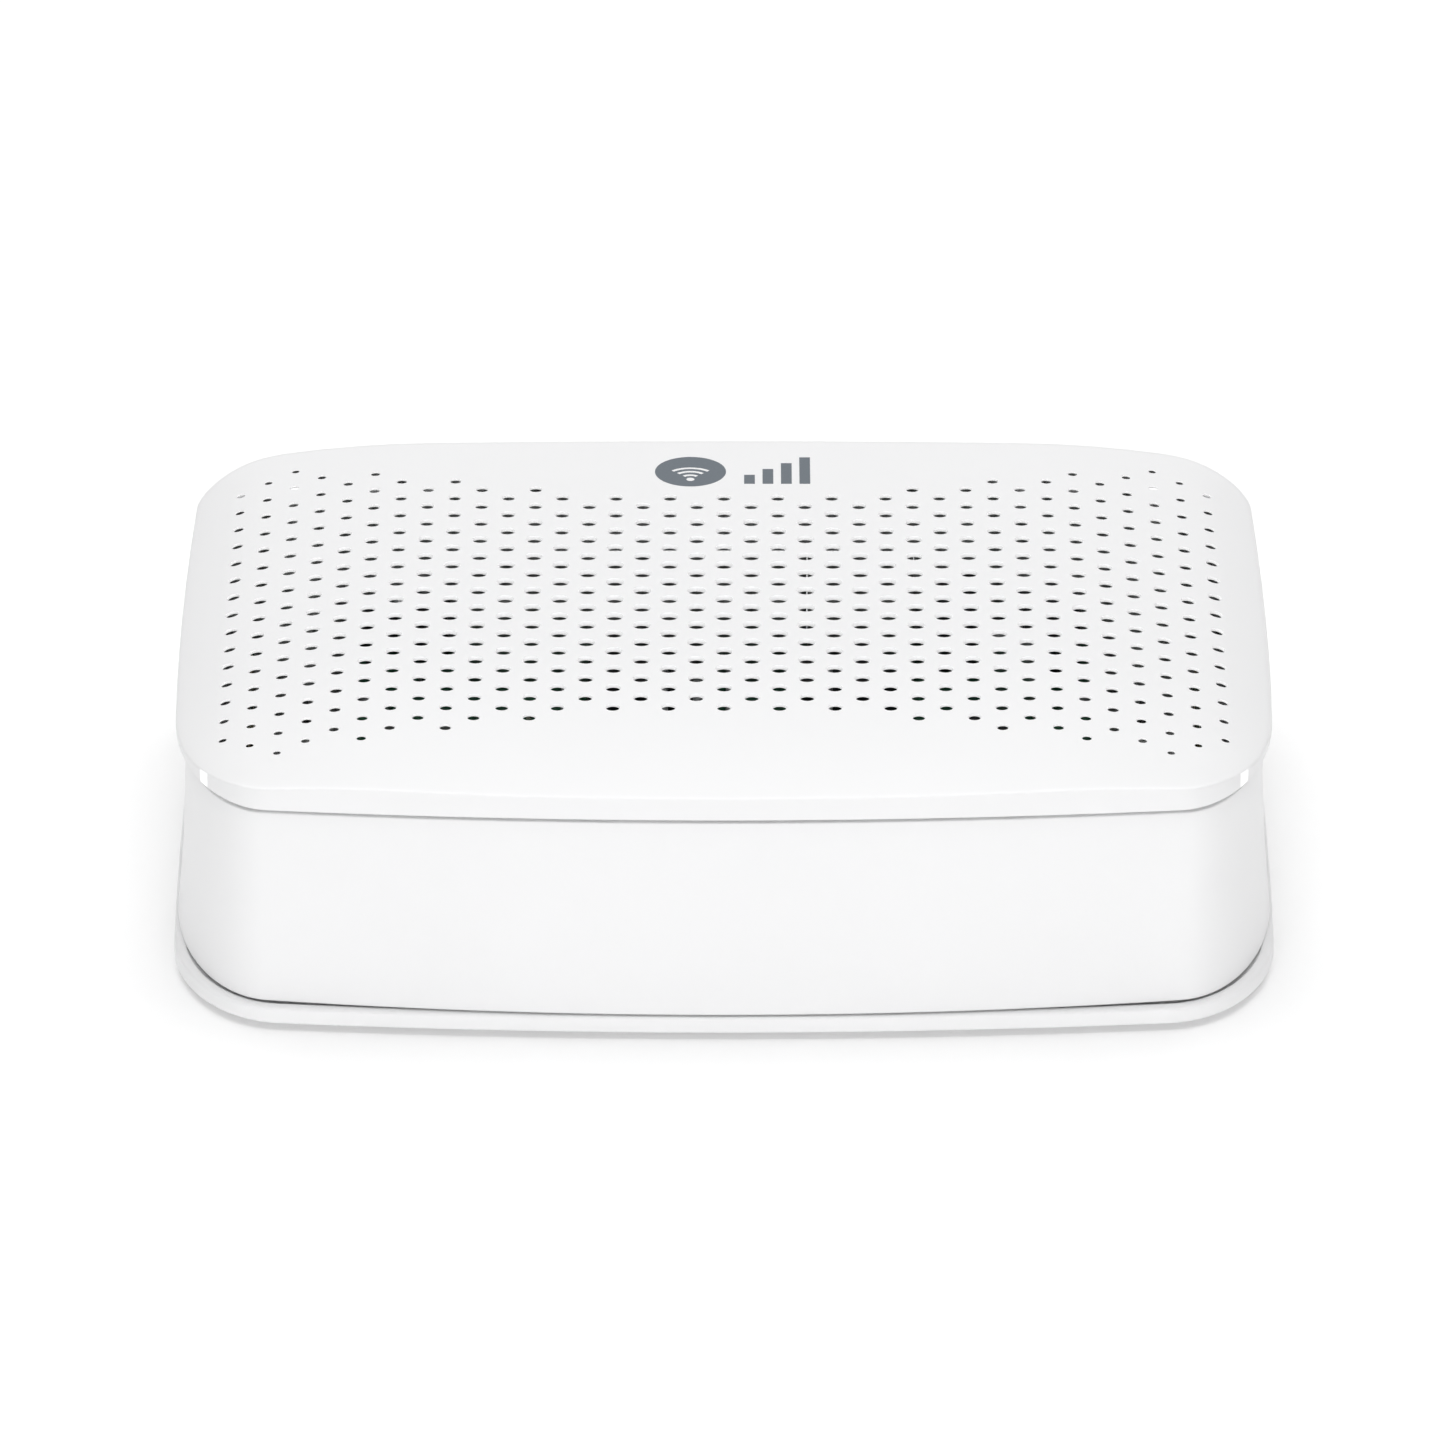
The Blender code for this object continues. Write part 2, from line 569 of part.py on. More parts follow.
def make_switch(name, x, size, rear):
    """A board switch whose plunger side faces the rear wall."""
    mesh = bmesh.new()
    block(mesh, x, rear - size[1] / 2, ON_BOARD, size)
    node(name, mesh, "chip_black")


def make_controls():
    """Sprung push buttons, each with its origin on its own axis at the wall."""
    axis = (POWER_BUTTON_X, 0, CONTROL_HEIGHT)
    profile = [
        (0.0017, 0.0480),
        (0.0017, 0.0520),
        (POWER_CAP_RADIUS, 0.0520),
        (POWER_CAP_RADIUS, FLANGE_FRONT),
        (POWER_CAP_RADIUS + 0.0009, FLANGE_FRONT),
        (POWER_CAP_RADIUS + 0.0009, FLANGE_REAR),
        (POWER_CAP_RADIUS, FLANGE_REAR),
        (POWER_CAP_RADIUS, POWER_CAP_END - 0.0005),
        (POWER_CAP_RADIUS - 0.0005, POWER_CAP_END),
    ]
    origin = (POWER_BUTTON_X, PORT_FACE, CONTROL_HEIGHT)
    node("power_button", turned(profile, axis, 16, "Y"), "button_grey", origin)
    make_switch("power_switch", POWER_BUTTON_X, (0.0084, 0.0090, 0.0086), 0.0480 - POWER_TRAVEL - GAP)

    axis = (PAIRING_BUTTON_X, 0, CONTROL_HEIGHT)
    profile = [
        (0.0012, 0.0505),
        (0.0012, 0.0526),
        (PAIRING_CAP_RADIUS + 0.0009, 0.0526),
        (PAIRING_CAP_RADIUS + 0.0009, FLANGE_REAR),
        (PAIRING_CAP_RADIUS, FLANGE_REAR),
        (PAIRING_CAP_RADIUS, PAIRING_CAP_END - 0.0004),
        (PAIRING_CAP_RADIUS - 0.0004, PAIRING_CAP_END),
    ]
    origin = (PAIRING_BUTTON_X, PORT_FACE, CONTROL_HEIGHT)
    node("pairing_button", turned(profile, axis, 12, "Y"), "button_grey", origin)
    make_switch("pairing_switch", PAIRING_BUTTON_X, (0.0060, 0.0045, 0.0070), 0.0505 - PAIRING_TRAVEL - GAP)

    axis = (RESET_X, 0, CONTROL_HEIGHT)
    profile = [(RESET_PLUNGER_RADIUS, 0.0508), (RESET_PLUNGER_RADIUS, FLANGE_REAR - 0.0004)]
    origin = (RESET_X, PORT_FACE, CONTROL_HEIGHT)
    node("reset_button", turned(profile, axis, 10, "Y"), "chip_black", origin)
    make_switch("reset_switch", RESET_X, (0.0046, 0.0045, 0.0070), 0.0500)

    axis = (STATUS_LIGHT_X, 0, CONTROL_HEIGHT)
    profile = [(LIGHT_PIPE_RADIUS, 0.0505), (LIGHT_PIPE_RADIUS, 0.0569)]
    node("status_light_pipe", turned(profile, axis, 10, "Y"), "clear_lens")
    make_switch("status_led", STATUS_LIGHT_X, (0.0020, 0.0016, 0.0066), 0.0500)


def make_aerials():
    """Two upright aerials along each side, each with a thin lead back to a radio shield."""
    number = 0
    for side in (-1, 1):
        for place, y in enumerate(AERIAL_CENTRES_Y):
            number += 1
            inner, outer = AERIAL_X - AERIAL_THICKNESS / 2, AERIAL_X + AERIAL_THICKNESS / 2
            mesh = bmesh.new()
            low = (min(side * inner, side * outer), y - AERIAL_LENGTH / 2, AERIAL_BOTTOM)
            high = (max(side * inner, side * outer), y + AERIAL_LENGTH / 2, AERIAL_TOP)
            add_box(mesh, low, high)
            node(f"aerial_{number}", mesh, "board_green")
            plug = Vector((side * PLUG_X, PLUG_FIRST_Y + place * PLUG_PITCH, ON_BOARD))
            socket = turned([(PLUG_RADIUS, 0), (PLUG_RADIUS, PLUG_HEIGHT)], plug, 10)
            node(f"aerial_plug_{number}", socket, "contact_gold")
            make_lead(number, side, plug, Vector((side * (inner - GAP), y + 0.0090, 0.0180)))


def make_lead(number, side, plug, end):
    """A thin lead that rises off its plug, crosses to the wall and meets the aerial square on."""
    start = plug + Vector((0, 0, PLUG_HEIGHT + GAP))
    route = [
        start,
        start + Vector((0, 0, 0.0014)),
        start + Vector((side * 0.0040, 0.0010, 0.0032)),
        start.lerp(end, 0.5) + Vector((0, 0, 0.0024)),
        end - Vector((side * 0.0040, 0.0005, 0)),
        end - Vector((side * 0.0012, 0, 0)),
        end,
    ]
    curve = bpy.data.curves.new(f"aerial_lead_{number}", "CURVE")
    curve.dimensions = "3D"
    curve.bevel_depth = LEAD_RADIUS
    curve.bevel_resolution = 2
    curve.use_fill_caps = True
    smooth = smooth_route(route, 4)
    spline = curve.splines.new("POLY")
    spline.points.add(len(smooth) - 1)
    for point, place in zip(spline.points, smooth):
        point.co = (*place, 1.0)
    curve.materials.append(material("lead_black"))
    lead = bpy.data.objects.new(f"aerial_lead_{number}", curve)
    bpy.context.collection.objects.link(lead)


def smooth_route(route, steps):
    """Catmull-Rom through the route's points."""
    padded = [route[0] * 2 - route[1]] + route + [route[-1] * 2 - route[-2]]
    smooth = []
    for a, b, c, d in zip(padded, padded[1:], padded[2:], padded[3:]):
        for i in range(steps):
            t = i / steps
            smooth.append(0.5 * (2 * b + (c - a) * t + (2 * a - 5 * b + 4 * c - d) * t ** 2
                                 + (3 * b - a - 3 * c + d) * t ** 3))
    smooth.append(route[-1].copy())
    return smooth


def make_label():
    mesh = bmesh.new()
    top = BASE_UNDERSIDE - GAP
    add_box(mesh, (-0.0220, 0.0320, top - 0.0002), (0.0220, 0.0500, top))
    node("rating_label", mesh, "label_paper")


clear_scene()
make_cover()
make_body()
make_base()
make_feet_and_screws()
make_board()
make_heat_sink()
make_board_parts()
make_network_jack("wan_jack", WAN_JACK_X, "wan_blue")
for jack_number, jack_x in enumerate(LAN_JACKS_X, 1):
    make_network_jack(f"lan_jack_{jack_number}", jack_x, "socket_grey")
make_power_jack()
make_controls()
make_aerials()
make_label()
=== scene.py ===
import math
import random

import bmesh
import bpy
from mathutils import Matrix, Vector


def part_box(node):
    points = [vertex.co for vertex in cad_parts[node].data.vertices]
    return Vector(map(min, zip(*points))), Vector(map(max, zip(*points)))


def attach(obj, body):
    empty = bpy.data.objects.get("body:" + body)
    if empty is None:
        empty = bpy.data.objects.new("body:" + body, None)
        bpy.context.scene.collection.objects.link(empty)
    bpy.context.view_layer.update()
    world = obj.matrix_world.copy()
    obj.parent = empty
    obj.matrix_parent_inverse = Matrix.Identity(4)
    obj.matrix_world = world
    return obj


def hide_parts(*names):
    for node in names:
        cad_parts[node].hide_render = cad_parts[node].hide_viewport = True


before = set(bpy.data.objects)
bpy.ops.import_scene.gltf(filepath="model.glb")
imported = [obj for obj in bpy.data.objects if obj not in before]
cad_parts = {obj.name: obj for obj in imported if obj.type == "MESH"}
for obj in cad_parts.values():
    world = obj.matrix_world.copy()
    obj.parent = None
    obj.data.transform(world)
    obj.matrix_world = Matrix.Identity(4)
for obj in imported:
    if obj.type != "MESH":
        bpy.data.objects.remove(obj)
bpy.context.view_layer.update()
mm = 0.001
print("frame loaded")


# mesh helpers

def ringPoints(plan, inset, height):
    # outline with elliptical corners and bowed edges, counter-clockwise, at one height or on a surface
    half = plan["halfWidth"] - inset
    reach = {-1: plan["front"] - inset, 1: plan["rear"] - inset}
    cornerX = max(plan["cornerX"] - inset, 0.5 * mm)
    cornerY = {-1: max(plan["cornerFront"] - inset, 0.5 * mm), 1: max(plan["cornerRear"] - inset, 0.5 * mm)}
    bow = {-1: plan["frontBow"], 1: plan["rearBow"]}
    flat = []

    def corner(sideX, sideY, start):
        for i in range(plan["cornerSteps"] + 1):
            turn = start + math.pi / 2 * i / plan["cornerSteps"]
            x = sideX * (half - cornerX) + cornerX * math.cos(turn)
            y = sideY * (reach[sideY] - cornerY[sideY]) + cornerY[sideY] * math.sin(turn)
            flat.append(Vector((x, y)))

    def edge(steps, end):
        start = flat[-1]
        flat.extend(start.lerp(end, i / steps) for i in range(1, steps))

    side = {s: reach[s] - cornerY[s] for s in (-1, 1)}
    corner(1, 1, 0.0)
    edge(plan["longSteps"], Vector((cornerX - half, reach[1])))
    corner(-1, 1, math.pi / 2)
    edge(plan["shortSteps"], Vector((-half, -side[-1])))
    corner(-1, -1, math.pi)
    edge(plan["longSteps"], Vector((half - cornerX, -reach[-1])))
    corner(1, -1, math.pi * 1.5)
    edge(plan["shortSteps"], Vector((half, side[1])))

    points = []
    for p in flat:
        s = 1 if p.y > 0 else -1
        weight = min(1.0, abs(p.y) / side[s])
        y = p.y - s * bow[s] * weight * (p.x / half) ** 2
        x = p.x - math.copysign(plan["sideBow"], p.x) * (p.y / reach[s]) ** 2
        z = height(x, y) if callable(height) else height
        points.append(Vector((x, y, z)))
    return points


def growRings(bm, ring, edges, rings):
    # extrude an edge loop through further rings of the same count
    for points in rings:
        grown = bmesh.ops.extrude_edge_only(bm, edges=edges)["geom"]
        fresh = {g for g in grown if isinstance(g, bmesh.types.BMVert)}
        ring = [next(e.other_vert(v) for e in v.link_edges if e.other_vert(v) in fresh) for v in ring]
        edges = [g for g in grown if isinstance(g, bmesh.types.BMEdge) and all(v in fresh for v in g.verts)]
        for vert, point in zip(ring, points):
            vert.co = point
    return ring, edges


def skin(rings, closed=False, bm=None):
    # a solid through a list of rings: capped at both ends, or run round into the first ring
    bm = bm or bmesh.new()
    made = bmesh.ops.create_circle(bm, segments=len(rings[0]), radius=1.0, cap_ends=not closed)["verts"]
    made = sorted(made, key=lambda v: math.atan2(v.co.y, v.co.x) % math.tau)
    for vert, point in zip(made, rings[0]):
        vert.co = point
    edges = list({e for v in made for e in v.link_edges})
    ring, edges = growRings(bm, made, edges, rings[1:] + (rings[:1] if closed else []))
    if closed:
        bmesh.ops.remove_doubles(bm, verts=ring + made, dist=1e-7)
    else:
        bmesh.ops.contextual_create(bm, geom=edges)
    return bm


def lathe(profile, centre, sides, axis="Z", bm=None):
    # (radius, position along the axis) steps spun round an axis through centre
    bm = bm or bmesh.new()
    out = Vector((1, 0, 0))
    along = Vector((0, 1, 0)) if axis == "Y" else Vector((0, 0, 1))
    centre = Vector(centre)
    verts = [bm.verts.new(centre + out * r + along * h) for r, h in profile]
    edges = [bm.edges.new(pair) for pair in zip(verts, verts[1:])]
    bmesh.ops.spin(bm, geom=verts + edges, cent=centre, axis=along, angle=math.tau, steps=sides,
                   use_merge=True, use_duplicate=False)
    bmesh.ops.remove_doubles(bm, verts=bm.verts, dist=1e-7)
    ends = [e for e in bm.edges if e.is_boundary]
    if ends:
        bmesh.ops.holes_fill(bm, edges=ends, sides=sides)
    bmesh.ops.recalc_face_normals(bm, faces=bm.faces)
    return bm


bevelEdges = dict(affect="EDGES", profile=0.5, material=-1)


def addBox(bm, low, high, round=0.0, segments=2):
    low, high = Vector(low), Vector(high)
    place = Matrix.LocRotScale((low + high) / 2, None, high - low)
    verts = bmesh.ops.create_cube(bm, size=1.0, matrix=place)["verts"]
    if round:
        edges = list({e for v in verts for e in v.link_edges})
        bmesh.ops.bevel(bm, geom=edges, offset=round, segments=segments, **bevelEdges)
    return verts


def roundUprights(bm, verts, axis, round, segments, least=mm):
    # bevel only the edges of a box that run along one axis
    edges = {e for v in verts for e in v.link_edges}
    edges = [e for e in edges if abs(e.verts[0].co[axis] - e.verts[1].co[axis]) > least]
    bmesh.ops.bevel(bm, geom=edges, offset=round, segments=segments, **bevelEdges)


def addPart(bm, part):
    # join a finished bmesh into another
    data = bpy.data.meshes.new("part")
    part.to_mesh(data)
    part.free()
    bm.from_mesh(data)
    bpy.data.meshes.remove(data)


def piece(name, bm, mat, body="case", stands=(), angle=35, extra=()):
    # finished bmesh to a named piece that rides on its body
    data = bpy.data.meshes.new(name)
    bm.to_mesh(data)
    bm.free()
    data.shade_smooth()
    data.set_sharp_from_angle(angle=math.radians(angle))
    for m in [mat, *extra]:
        data.materials.append(m)
    obj = bpy.data.objects.new(name, data)
    bpy.context.scene.collection.objects.link(obj)
    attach(obj, body)
    if stands:
        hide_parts(*stands)
    return obj


def boolean(obj, bm, operation="DIFFERENCE"):
    # cut with, or join to, a tool that is thrown away afterwards
    bmesh.ops.recalc_face_normals(bm, faces=bm.faces)
    data = bpy.data.meshes.new("tool")
    bm.to_mesh(data)
    bm.free()
    tool = bpy.data.objects.new("tool", data)
    bpy.context.scene.collection.objects.link(tool)
    cut = obj.modifiers.new("cut", "BOOLEAN")
    cut.operation, cut.solver, cut.object = operation, "EXACT", tool
    graph = bpy.context.evaluated_depsgraph_get()
    graph.update()
    old = obj.data
    obj.data = bpy.data.meshes.new_from_object(obj.evaluated_get(graph))
    obj.data.name = obj.name
    obj.modifiers.clear()
    bpy.data.objects.remove(tool)
    bpy.data.meshes.remove(data)
    bpy.data.meshes.remove(old)
    obj.data.shade_smooth()
    obj.data.set_sharp_from_angle(angle=math.radians(35))


def softenEdges(obj, width, segments=2, angle=40):
    bevel = obj.modifiers.new("edge", "BEVEL")
    bevel.width, bevel.segments, bevel.limit_method = width, segments, "ANGLE"
    bevel.angle_limit = math.radians(angle)
    bevel.harden_normals = True
    return bevel


# shader helpers

class Wire:
    # a socket that adds Math nodes when it is used in an expression
    def __init__(self, maker, socket):
        self.maker, self.socket = maker, socket

    def maths(self, operation, other, swap=False):
        pair = (other, self) if swap else (self, other)
        return self.maker.add("ShaderNodeMath", {"operation": operation}, {0: pair[0], 1: pair[1]})[0]

    def __add__(self, other):
        return self.maths("ADD", other)

    def __radd__(self, other):
        return self.maths("ADD", other, True)

    def __sub__(self, other):
        return self.maths("SUBTRACT", other)

    def __rsub__(self, other):
        return self.maths("SUBTRACT", other, True)

    def __mul__(self, other):
        return self.maths("MULTIPLY", other)

    def __rmul__(self, other):
        return self.maths("MULTIPLY", other, True)

    def size(self):
        return self.maths("ABSOLUTE", 0.0)

    def __lt__(self, other):
        return self.maths("LESS_THAN", other)


class Finish:
    # one material: its nodes are added by type, settings and socket values
    def __init__(self, name, colour, roughness, metallic=0.0, **constants):
        self.mat = bpy.data.materials.new(name)
        self.mat.use_nodes = True
        self.tree = self.mat.node_tree
        self.shader = self.tree.nodes["Principled BSDF"]
        self.set(**{"Base Color": (*colour, 1.0), "Roughness": roughness, "Metallic": metallic}, **constants)
        self.mat.diffuse_color = (*colour, 1.0)
        self.coords = None

    def set(self, **sockets):
        for key, value in sockets.items():
            self.feed(self.shader.inputs[key], value)
        return self

    def feed(self, socket, value):
        if isinstance(value, Wire):
            self.tree.links.new(value.socket, socket)
        else:
            socket.default_value = value

    def add(self, kind, settings=None, sockets=None):
        node = self.tree.nodes.new(kind)
        for key, value in (settings or {}).items():
            if key == "stops":
                for i, (place, colour) in enumerate(value):
                    stop = node.color_ramp.elements[i] if i < 2 else node.color_ramp.elements.new(place)
                    stop.position, stop.color = place, colour
            else:
                setattr(node, key, value)
        for key, value in (sockets or {}).items():
            self.feed(node.inputs[key], value)
        return [Wire(self, s) for s in node.outputs]

    def place(self, scale=1.0, shift=(0, 0, 0), turn=(0, 0, 0)):
        if self.coords is None:
            self.coords = self.add("ShaderNodeTexCoord")[3]
        scale = scale if isinstance(scale, tuple) else (scale,) * 3
        sockets = {"Vector": self.coords, "Location": shift, "Rotation": turn, "Scale": scale}
        return self.add("ShaderNodeMapping", {"vector_type": "POINT"}, sockets)[0]

    def noise(self, scale, detail=3.0, rough=0.5, vector=None):
        sockets = {"Vector": vector or self.place(), "Scale": scale, "Detail": detail, "Roughness": rough}
        return self.add("ShaderNodeTexNoise", {}, sockets)[0]

    def ramp(self, factor, low, high):
        settings = {"stops": [(low, (0, 0, 0, 1)), (high, (1, 1, 1, 1))]}
        return self.add("ShaderNodeValToRGB", settings, {"Fac": factor})[0]

    def mix(self, factor, first, second):
        sockets = {"Factor": factor, 6: (*first, 1.0) if isinstance(first, tuple) else first,
                   7: (*second, 1.0) if isinstance(second, tuple) else second}
        return self.add("ShaderNodeMix", {"data_type": "RGBA"}, sockets)[2]

    def bump(self, height, distance, strength=1.0):
        sockets = {"Height": height, "Distance": distance, "Strength": strength}
        self.set(Normal=self.add("ShaderNodeBump", {}, sockets)[0])
        return self


def plasticFinish(name, colour, roughness, grain=0.012 * mm):
    # moulded surface: a fine spark-eroded grain, a slow waviness and faint handling marks in the gloss
    f = Finish(name, colour, roughness, **{"Specular IOR Level": 0.5, "Coat Roughness": 0.25})
    fine = f.noise(5200.0, 2.0, 0.6)
    slow = f.noise(55.0, 2.0, 0.5)
    marks = f.ramp(f.noise(240.0, 5.0, 0.7), 0.52, 0.78)
    tint = tuple(c * 0.98 for c in colour)
    f.set(**{"Base Color": f.mix(slow, colour, tint)})
    f.set(Roughness=roughness + slow * 0.05 - marks * 0.04)
    f.bump(fine + slow * 0.6, grain)
    return f


def mouldedPlastic(name, colour, roughness, grain=0.012 * mm):
    return plasticFinish(name, colour, roughness, grain).mat


def metalSheet(name, colour, roughness, along=(1, 1, 1), grain=0.004 * mm):
    # rolled or drawn metal: fine lines along one direction and cloudy tarnish
    f = Finish(name, colour, roughness, 1.0)
    lines = f.noise(900.0, 4.0, 0.6, f.place(along))
    cloud = f.noise(120.0, 4.0, 0.6)
    dark = tuple(c * 0.78 for c in colour)
    f.set(**{"Base Color": f.mix(f.ramp(cloud, 0.45, 0.8), colour, dark)})
    f.set(Roughness=roughness + lines * 0.16 - 0.05)
    f.bump(lines, grain)
    return f.mat


def rubber(name, colour):
    f = Finish(name, colour, 0.82, **{"Specular IOR Level": 0.3})
    dust = f.ramp(f.noise(700.0, 5.0, 0.7), 0.5, 0.75)
    pale = tuple(c + 0.06 for c in colour)
    f.set(**{"Base Color": f.mix(dust, colour, pale)})
    f.bump(f.noise(2600.0, 3.0, 0.6), 0.03 * mm)
    return f.mat


def circuitBoard(name):
    # solder mask over copper tracks, with vias and bare glass at the weave
    f = Finish(name, (0.03, 0.15, 0.08), 0.36, **{"Coat Weight": 0.4, "Coat Roughness": 0.12})
    bricks = {"Vector": f.place(1.0, turn=(0, 0, 0.785)), "Scale": 420.0, "Mortar Size": 0.13, "Bias": 0.0,
              "Brick Width": 3.5, "Row Height": 0.35}
    tracks = f.add("ShaderNodeTexBrick", {"offset": 0.37}, bricks)[1]
    zones = f.ramp(f.noise(75.0, 1.0, 0.4), 0.47, 0.50)
    vias = f.add("ShaderNodeTexVoronoi", {"feature": "F1"}, {"Vector": f.place(), "Scale": 330.0})[0]
    via = vias < 0.13
    copper = f.mix((1 - tracks) * zones, (0.03, 0.15, 0.08), (0.07, 0.27, 0.13))
    f.set(**{"Base Color": f.mix(via, copper, (0.55, 0.52, 0.42))})
    f.bump((1 - tracks) * zones + via * 0.5, 0.03 * mm)
    return f.mat


def chipEpoxy(name):
    f = Finish(name, (0.022, 0.022, 0.025), 0.55)
    speck = f.noise(4200.0, 3.0, 0.7)
    f.set(**{"Base Color": f.mix(f.ramp(speck, 0.55, 0.8), (0.022, 0.022, 0.025), (0.06, 0.06, 0.065))})
    f.set(Roughness=0.48 + speck * 0.15)
    f.bump(speck, 0.02 * mm)
    return f.mat


def clearAcrylic(name):
    f = Finish(name, (0.86, 0.90, 0.92), 0.10, **{"Transmission Weight": 0.85, "IOR": 1.49})
    f.set(Roughness=0.08 + f.noise(900.0) * 0.08)
    f.bump(f.noise(1500.0), 0.004 * mm)
    return f.mat


def printedInk(name, colour):
    # screen-printed ink: matt, with the faint mesh of the screen
    f = Finish(name, colour, 0.55)
    mesh = f.noise(3800.0, 1.0, 0.4)
    f.set(**{"Base Color": f.mix(mesh, colour, tuple(c * 0.9 for c in colour))})
    f.set(Roughness=0.5 + mesh * 0.12)
    f.bump(mesh, 0.006 * mm)
    return f.mat


def labelFilm(name):
    # blank rating sticker: white film with plain grey rules, no lettering
    f = Finish(name, (0.80, 0.80, 0.79), 0.5)
    wave = {"Vector": f.place(), "Scale": 95.0, "Distortion": 0.0}
    rules = f.add("ShaderNodeTexWave", {"wave_type": "BANDS", "bands_direction": "Y"}, wave)[1]
    f.set(**{"Base Color": f.mix(f.ramp(rules, 0.90, 0.93), (0.80, 0.80, 0.79), (0.52, 0.52, 0.53))})
    f.set(Roughness=0.42 + f.noise(400.0) * 0.12)
    f.bump(f.noise(300.0), 0.01 * mm)
    return f.mat


# painted light on the vent hole walls: the field where it is painted, how steep a wall must be, and its grey
# emission colour
paintedWallLight = dict(reachX=75 * mm, middleY=2.7 * mm, reachY=50.5 * mm, steepest=0.5, colour=(0.38, 0.38, 0.38))


def plasticWithPaintedWallLight(name, colour, roughness):
    # the same plastic with painted light: a grey emission glow on the steep walls of the vent holes, a
    # painted brightening where light falls into the holes
    f = plasticFinish(name, colour, roughness)
    outputs = f.add("ShaderNodeTexCoord")
    facing = f.add("ShaderNodeSeparateXYZ", {}, {"Vector": outputs[1]})[2]
    x, y, z = f.add("ShaderNodeSeparateXYZ", {}, {"Vector": outputs[3]})
    field = (x.size() < paintedWallLight["reachX"]) * ((y - paintedWallLight["middleY"]).size() < paintedWallLight["reachY"])
    wall = (facing.size() < paintedWallLight["steepest"]) * field
    # painted light: grey emission on the hole walls inside the field
    f.set(**{"Emission Color": f.mix(wall, (0.0, 0.0, 0.0), paintedWallLight["colour"]), "Emission Strength": 1.0})
    return f.mat


shellWhite = mouldedPlastic("shellWhite", (0.93, 0.93, 0.935), 0.34)
# cover finish that carries the painted light on its vent hole walls
coverWhitePaintedWallLight = plasticWithPaintedWallLight("coverWhitePaintedWallLight", (0.93, 0.93, 0.935), 0.34)
baseWhite = mouldedPlastic("baseWhite", (0.95, 0.95, 0.955), 0.36)
footRubber = rubber("footRubber", (0.09, 0.09, 0.10))
screwSteel = metalSheet("screwSteel", (0.60, 0.60, 0.62), 0.34)
shieldTin = metalSheet("shieldTin", (0.50, 0.50, 0.49), 0.42, (1, 6, 1))
finAluminium = metalSheet("finAluminium", (0.74, 0.75, 0.76), 0.36, (8, 0.6, 8))
contactGold = metalSheet("contactGold", (0.90, 0.66, 0.28), 0.22, (6, 1, 6))
boardGreen = circuitBoard("boardGreen")
chipBlack = chipEpoxy("chipBlack")
padGrey = rubber("padGrey", (0.33, 0.37, 0.42))
socketBlack = mouldedPlastic("socketBlack", (0.035, 0.035, 0.038), 0.42, 0.02 * mm)
wanBlue = mouldedPlastic("wanBlue", (0.04, 0.17, 0.45), 0.40, 0.02 * mm)
buttonGrey = mouldedPlastic("buttonGrey", (0.40, 0.41, 0.43), 0.40, 0.02 * mm)
acrylic = clearAcrylic("acrylic")
leadBlack = mouldedPlastic("leadBlack", (0.028, 0.028, 0.03), 0.42, 0.01 * mm)
inkGrey = printedInk("inkGrey", (0.155, 0.18, 0.205))
labelWhite = labelFilm("labelWhite")
print("finishes made")


# outlines, repeated from the solids and tied to their boxes

coverLow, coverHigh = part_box("top_cover")
bodyLow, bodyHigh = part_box("body_shell")
baseLow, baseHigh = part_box("base_plate")

steps = dict(cornerSteps=22, longSteps=26, shortSteps=6)
coverPlan = dict(halfWidth=coverHigh.x, front=-coverLow.y, rear=coverHigh.y,
                 frontBow=4.8 * mm, rearBow=2.1 * mm, sideBow=1.3 * mm,
                 cornerX=13.1 * mm, cornerFront=27.6 * mm, cornerRear=10.9 * mm, **steps)
bodyFoot = dict(halfWidth=bodyHigh.x, front=-bodyLow.y, rear=bodyHigh.y, frontBow=6.9 * mm, rearBow=1.0 * mm,
                sideBow=0.2 * mm, cornerX=13.7 * mm, cornerFront=29.6 * mm, cornerRear=22 * mm, **steps)
bodyHead = dict(halfWidth=bodyHigh.x - 1.35 * mm, front=-bodyLow.y - 0.2 * mm, rear=bodyHigh.y - 1.1 * mm,
                frontBow=4.8 * mm, rearBow=1.9 * mm, sideBow=1.1 * mm,
                cornerX=11.2 * mm, cornerFront=25.4 * mm, cornerRear=10.4 * mm, **steps)
basePlan = dict(halfWidth=baseHigh.x, front=-baseLow.y, rear=baseHigh.y, frontBow=4.6 * mm, rearBow=0.8 * mm,
                sideBow=0.6 * mm, cornerX=15.4 * mm, cornerFront=22 * mm, cornerRear=20 * mm, **steps)

cover = dict(sideStart=44.3 * mm, sideRate=3.0, edgeStart=68.7 * mm, edgeRate=15.4, frontStart=14.1 * mm,
             frontRate=1.46, frontLoss=0.45, skin=2.0 * mm, fieldShare=0.43, rimBottom=34.8 * mm,
             edgeRadius=0.3 * mm, tongueInset=4.5 * mm, tongueWidth=1.2 * mm, tongueBottom=32.6 * mm,
             sheetInset=1.3 * mm, latticeInset=4.2 * mm, printRoom=0.03 * mm,
             thinning=1.6, leastShare=0.09)
vent = dict(columns=18, pitchX=4.0 * mm, pitchY=5.95 * mm, middleY=2.74 * mm, rows=9,
            middleDiameter=2.65 * mm, fade=0.55, fadeRows=9.5, fadeColumns=26.0,
            rowsAtMiddle=6.1, rowsGained=2.0, gainColumn=16.0, wallSides=16)


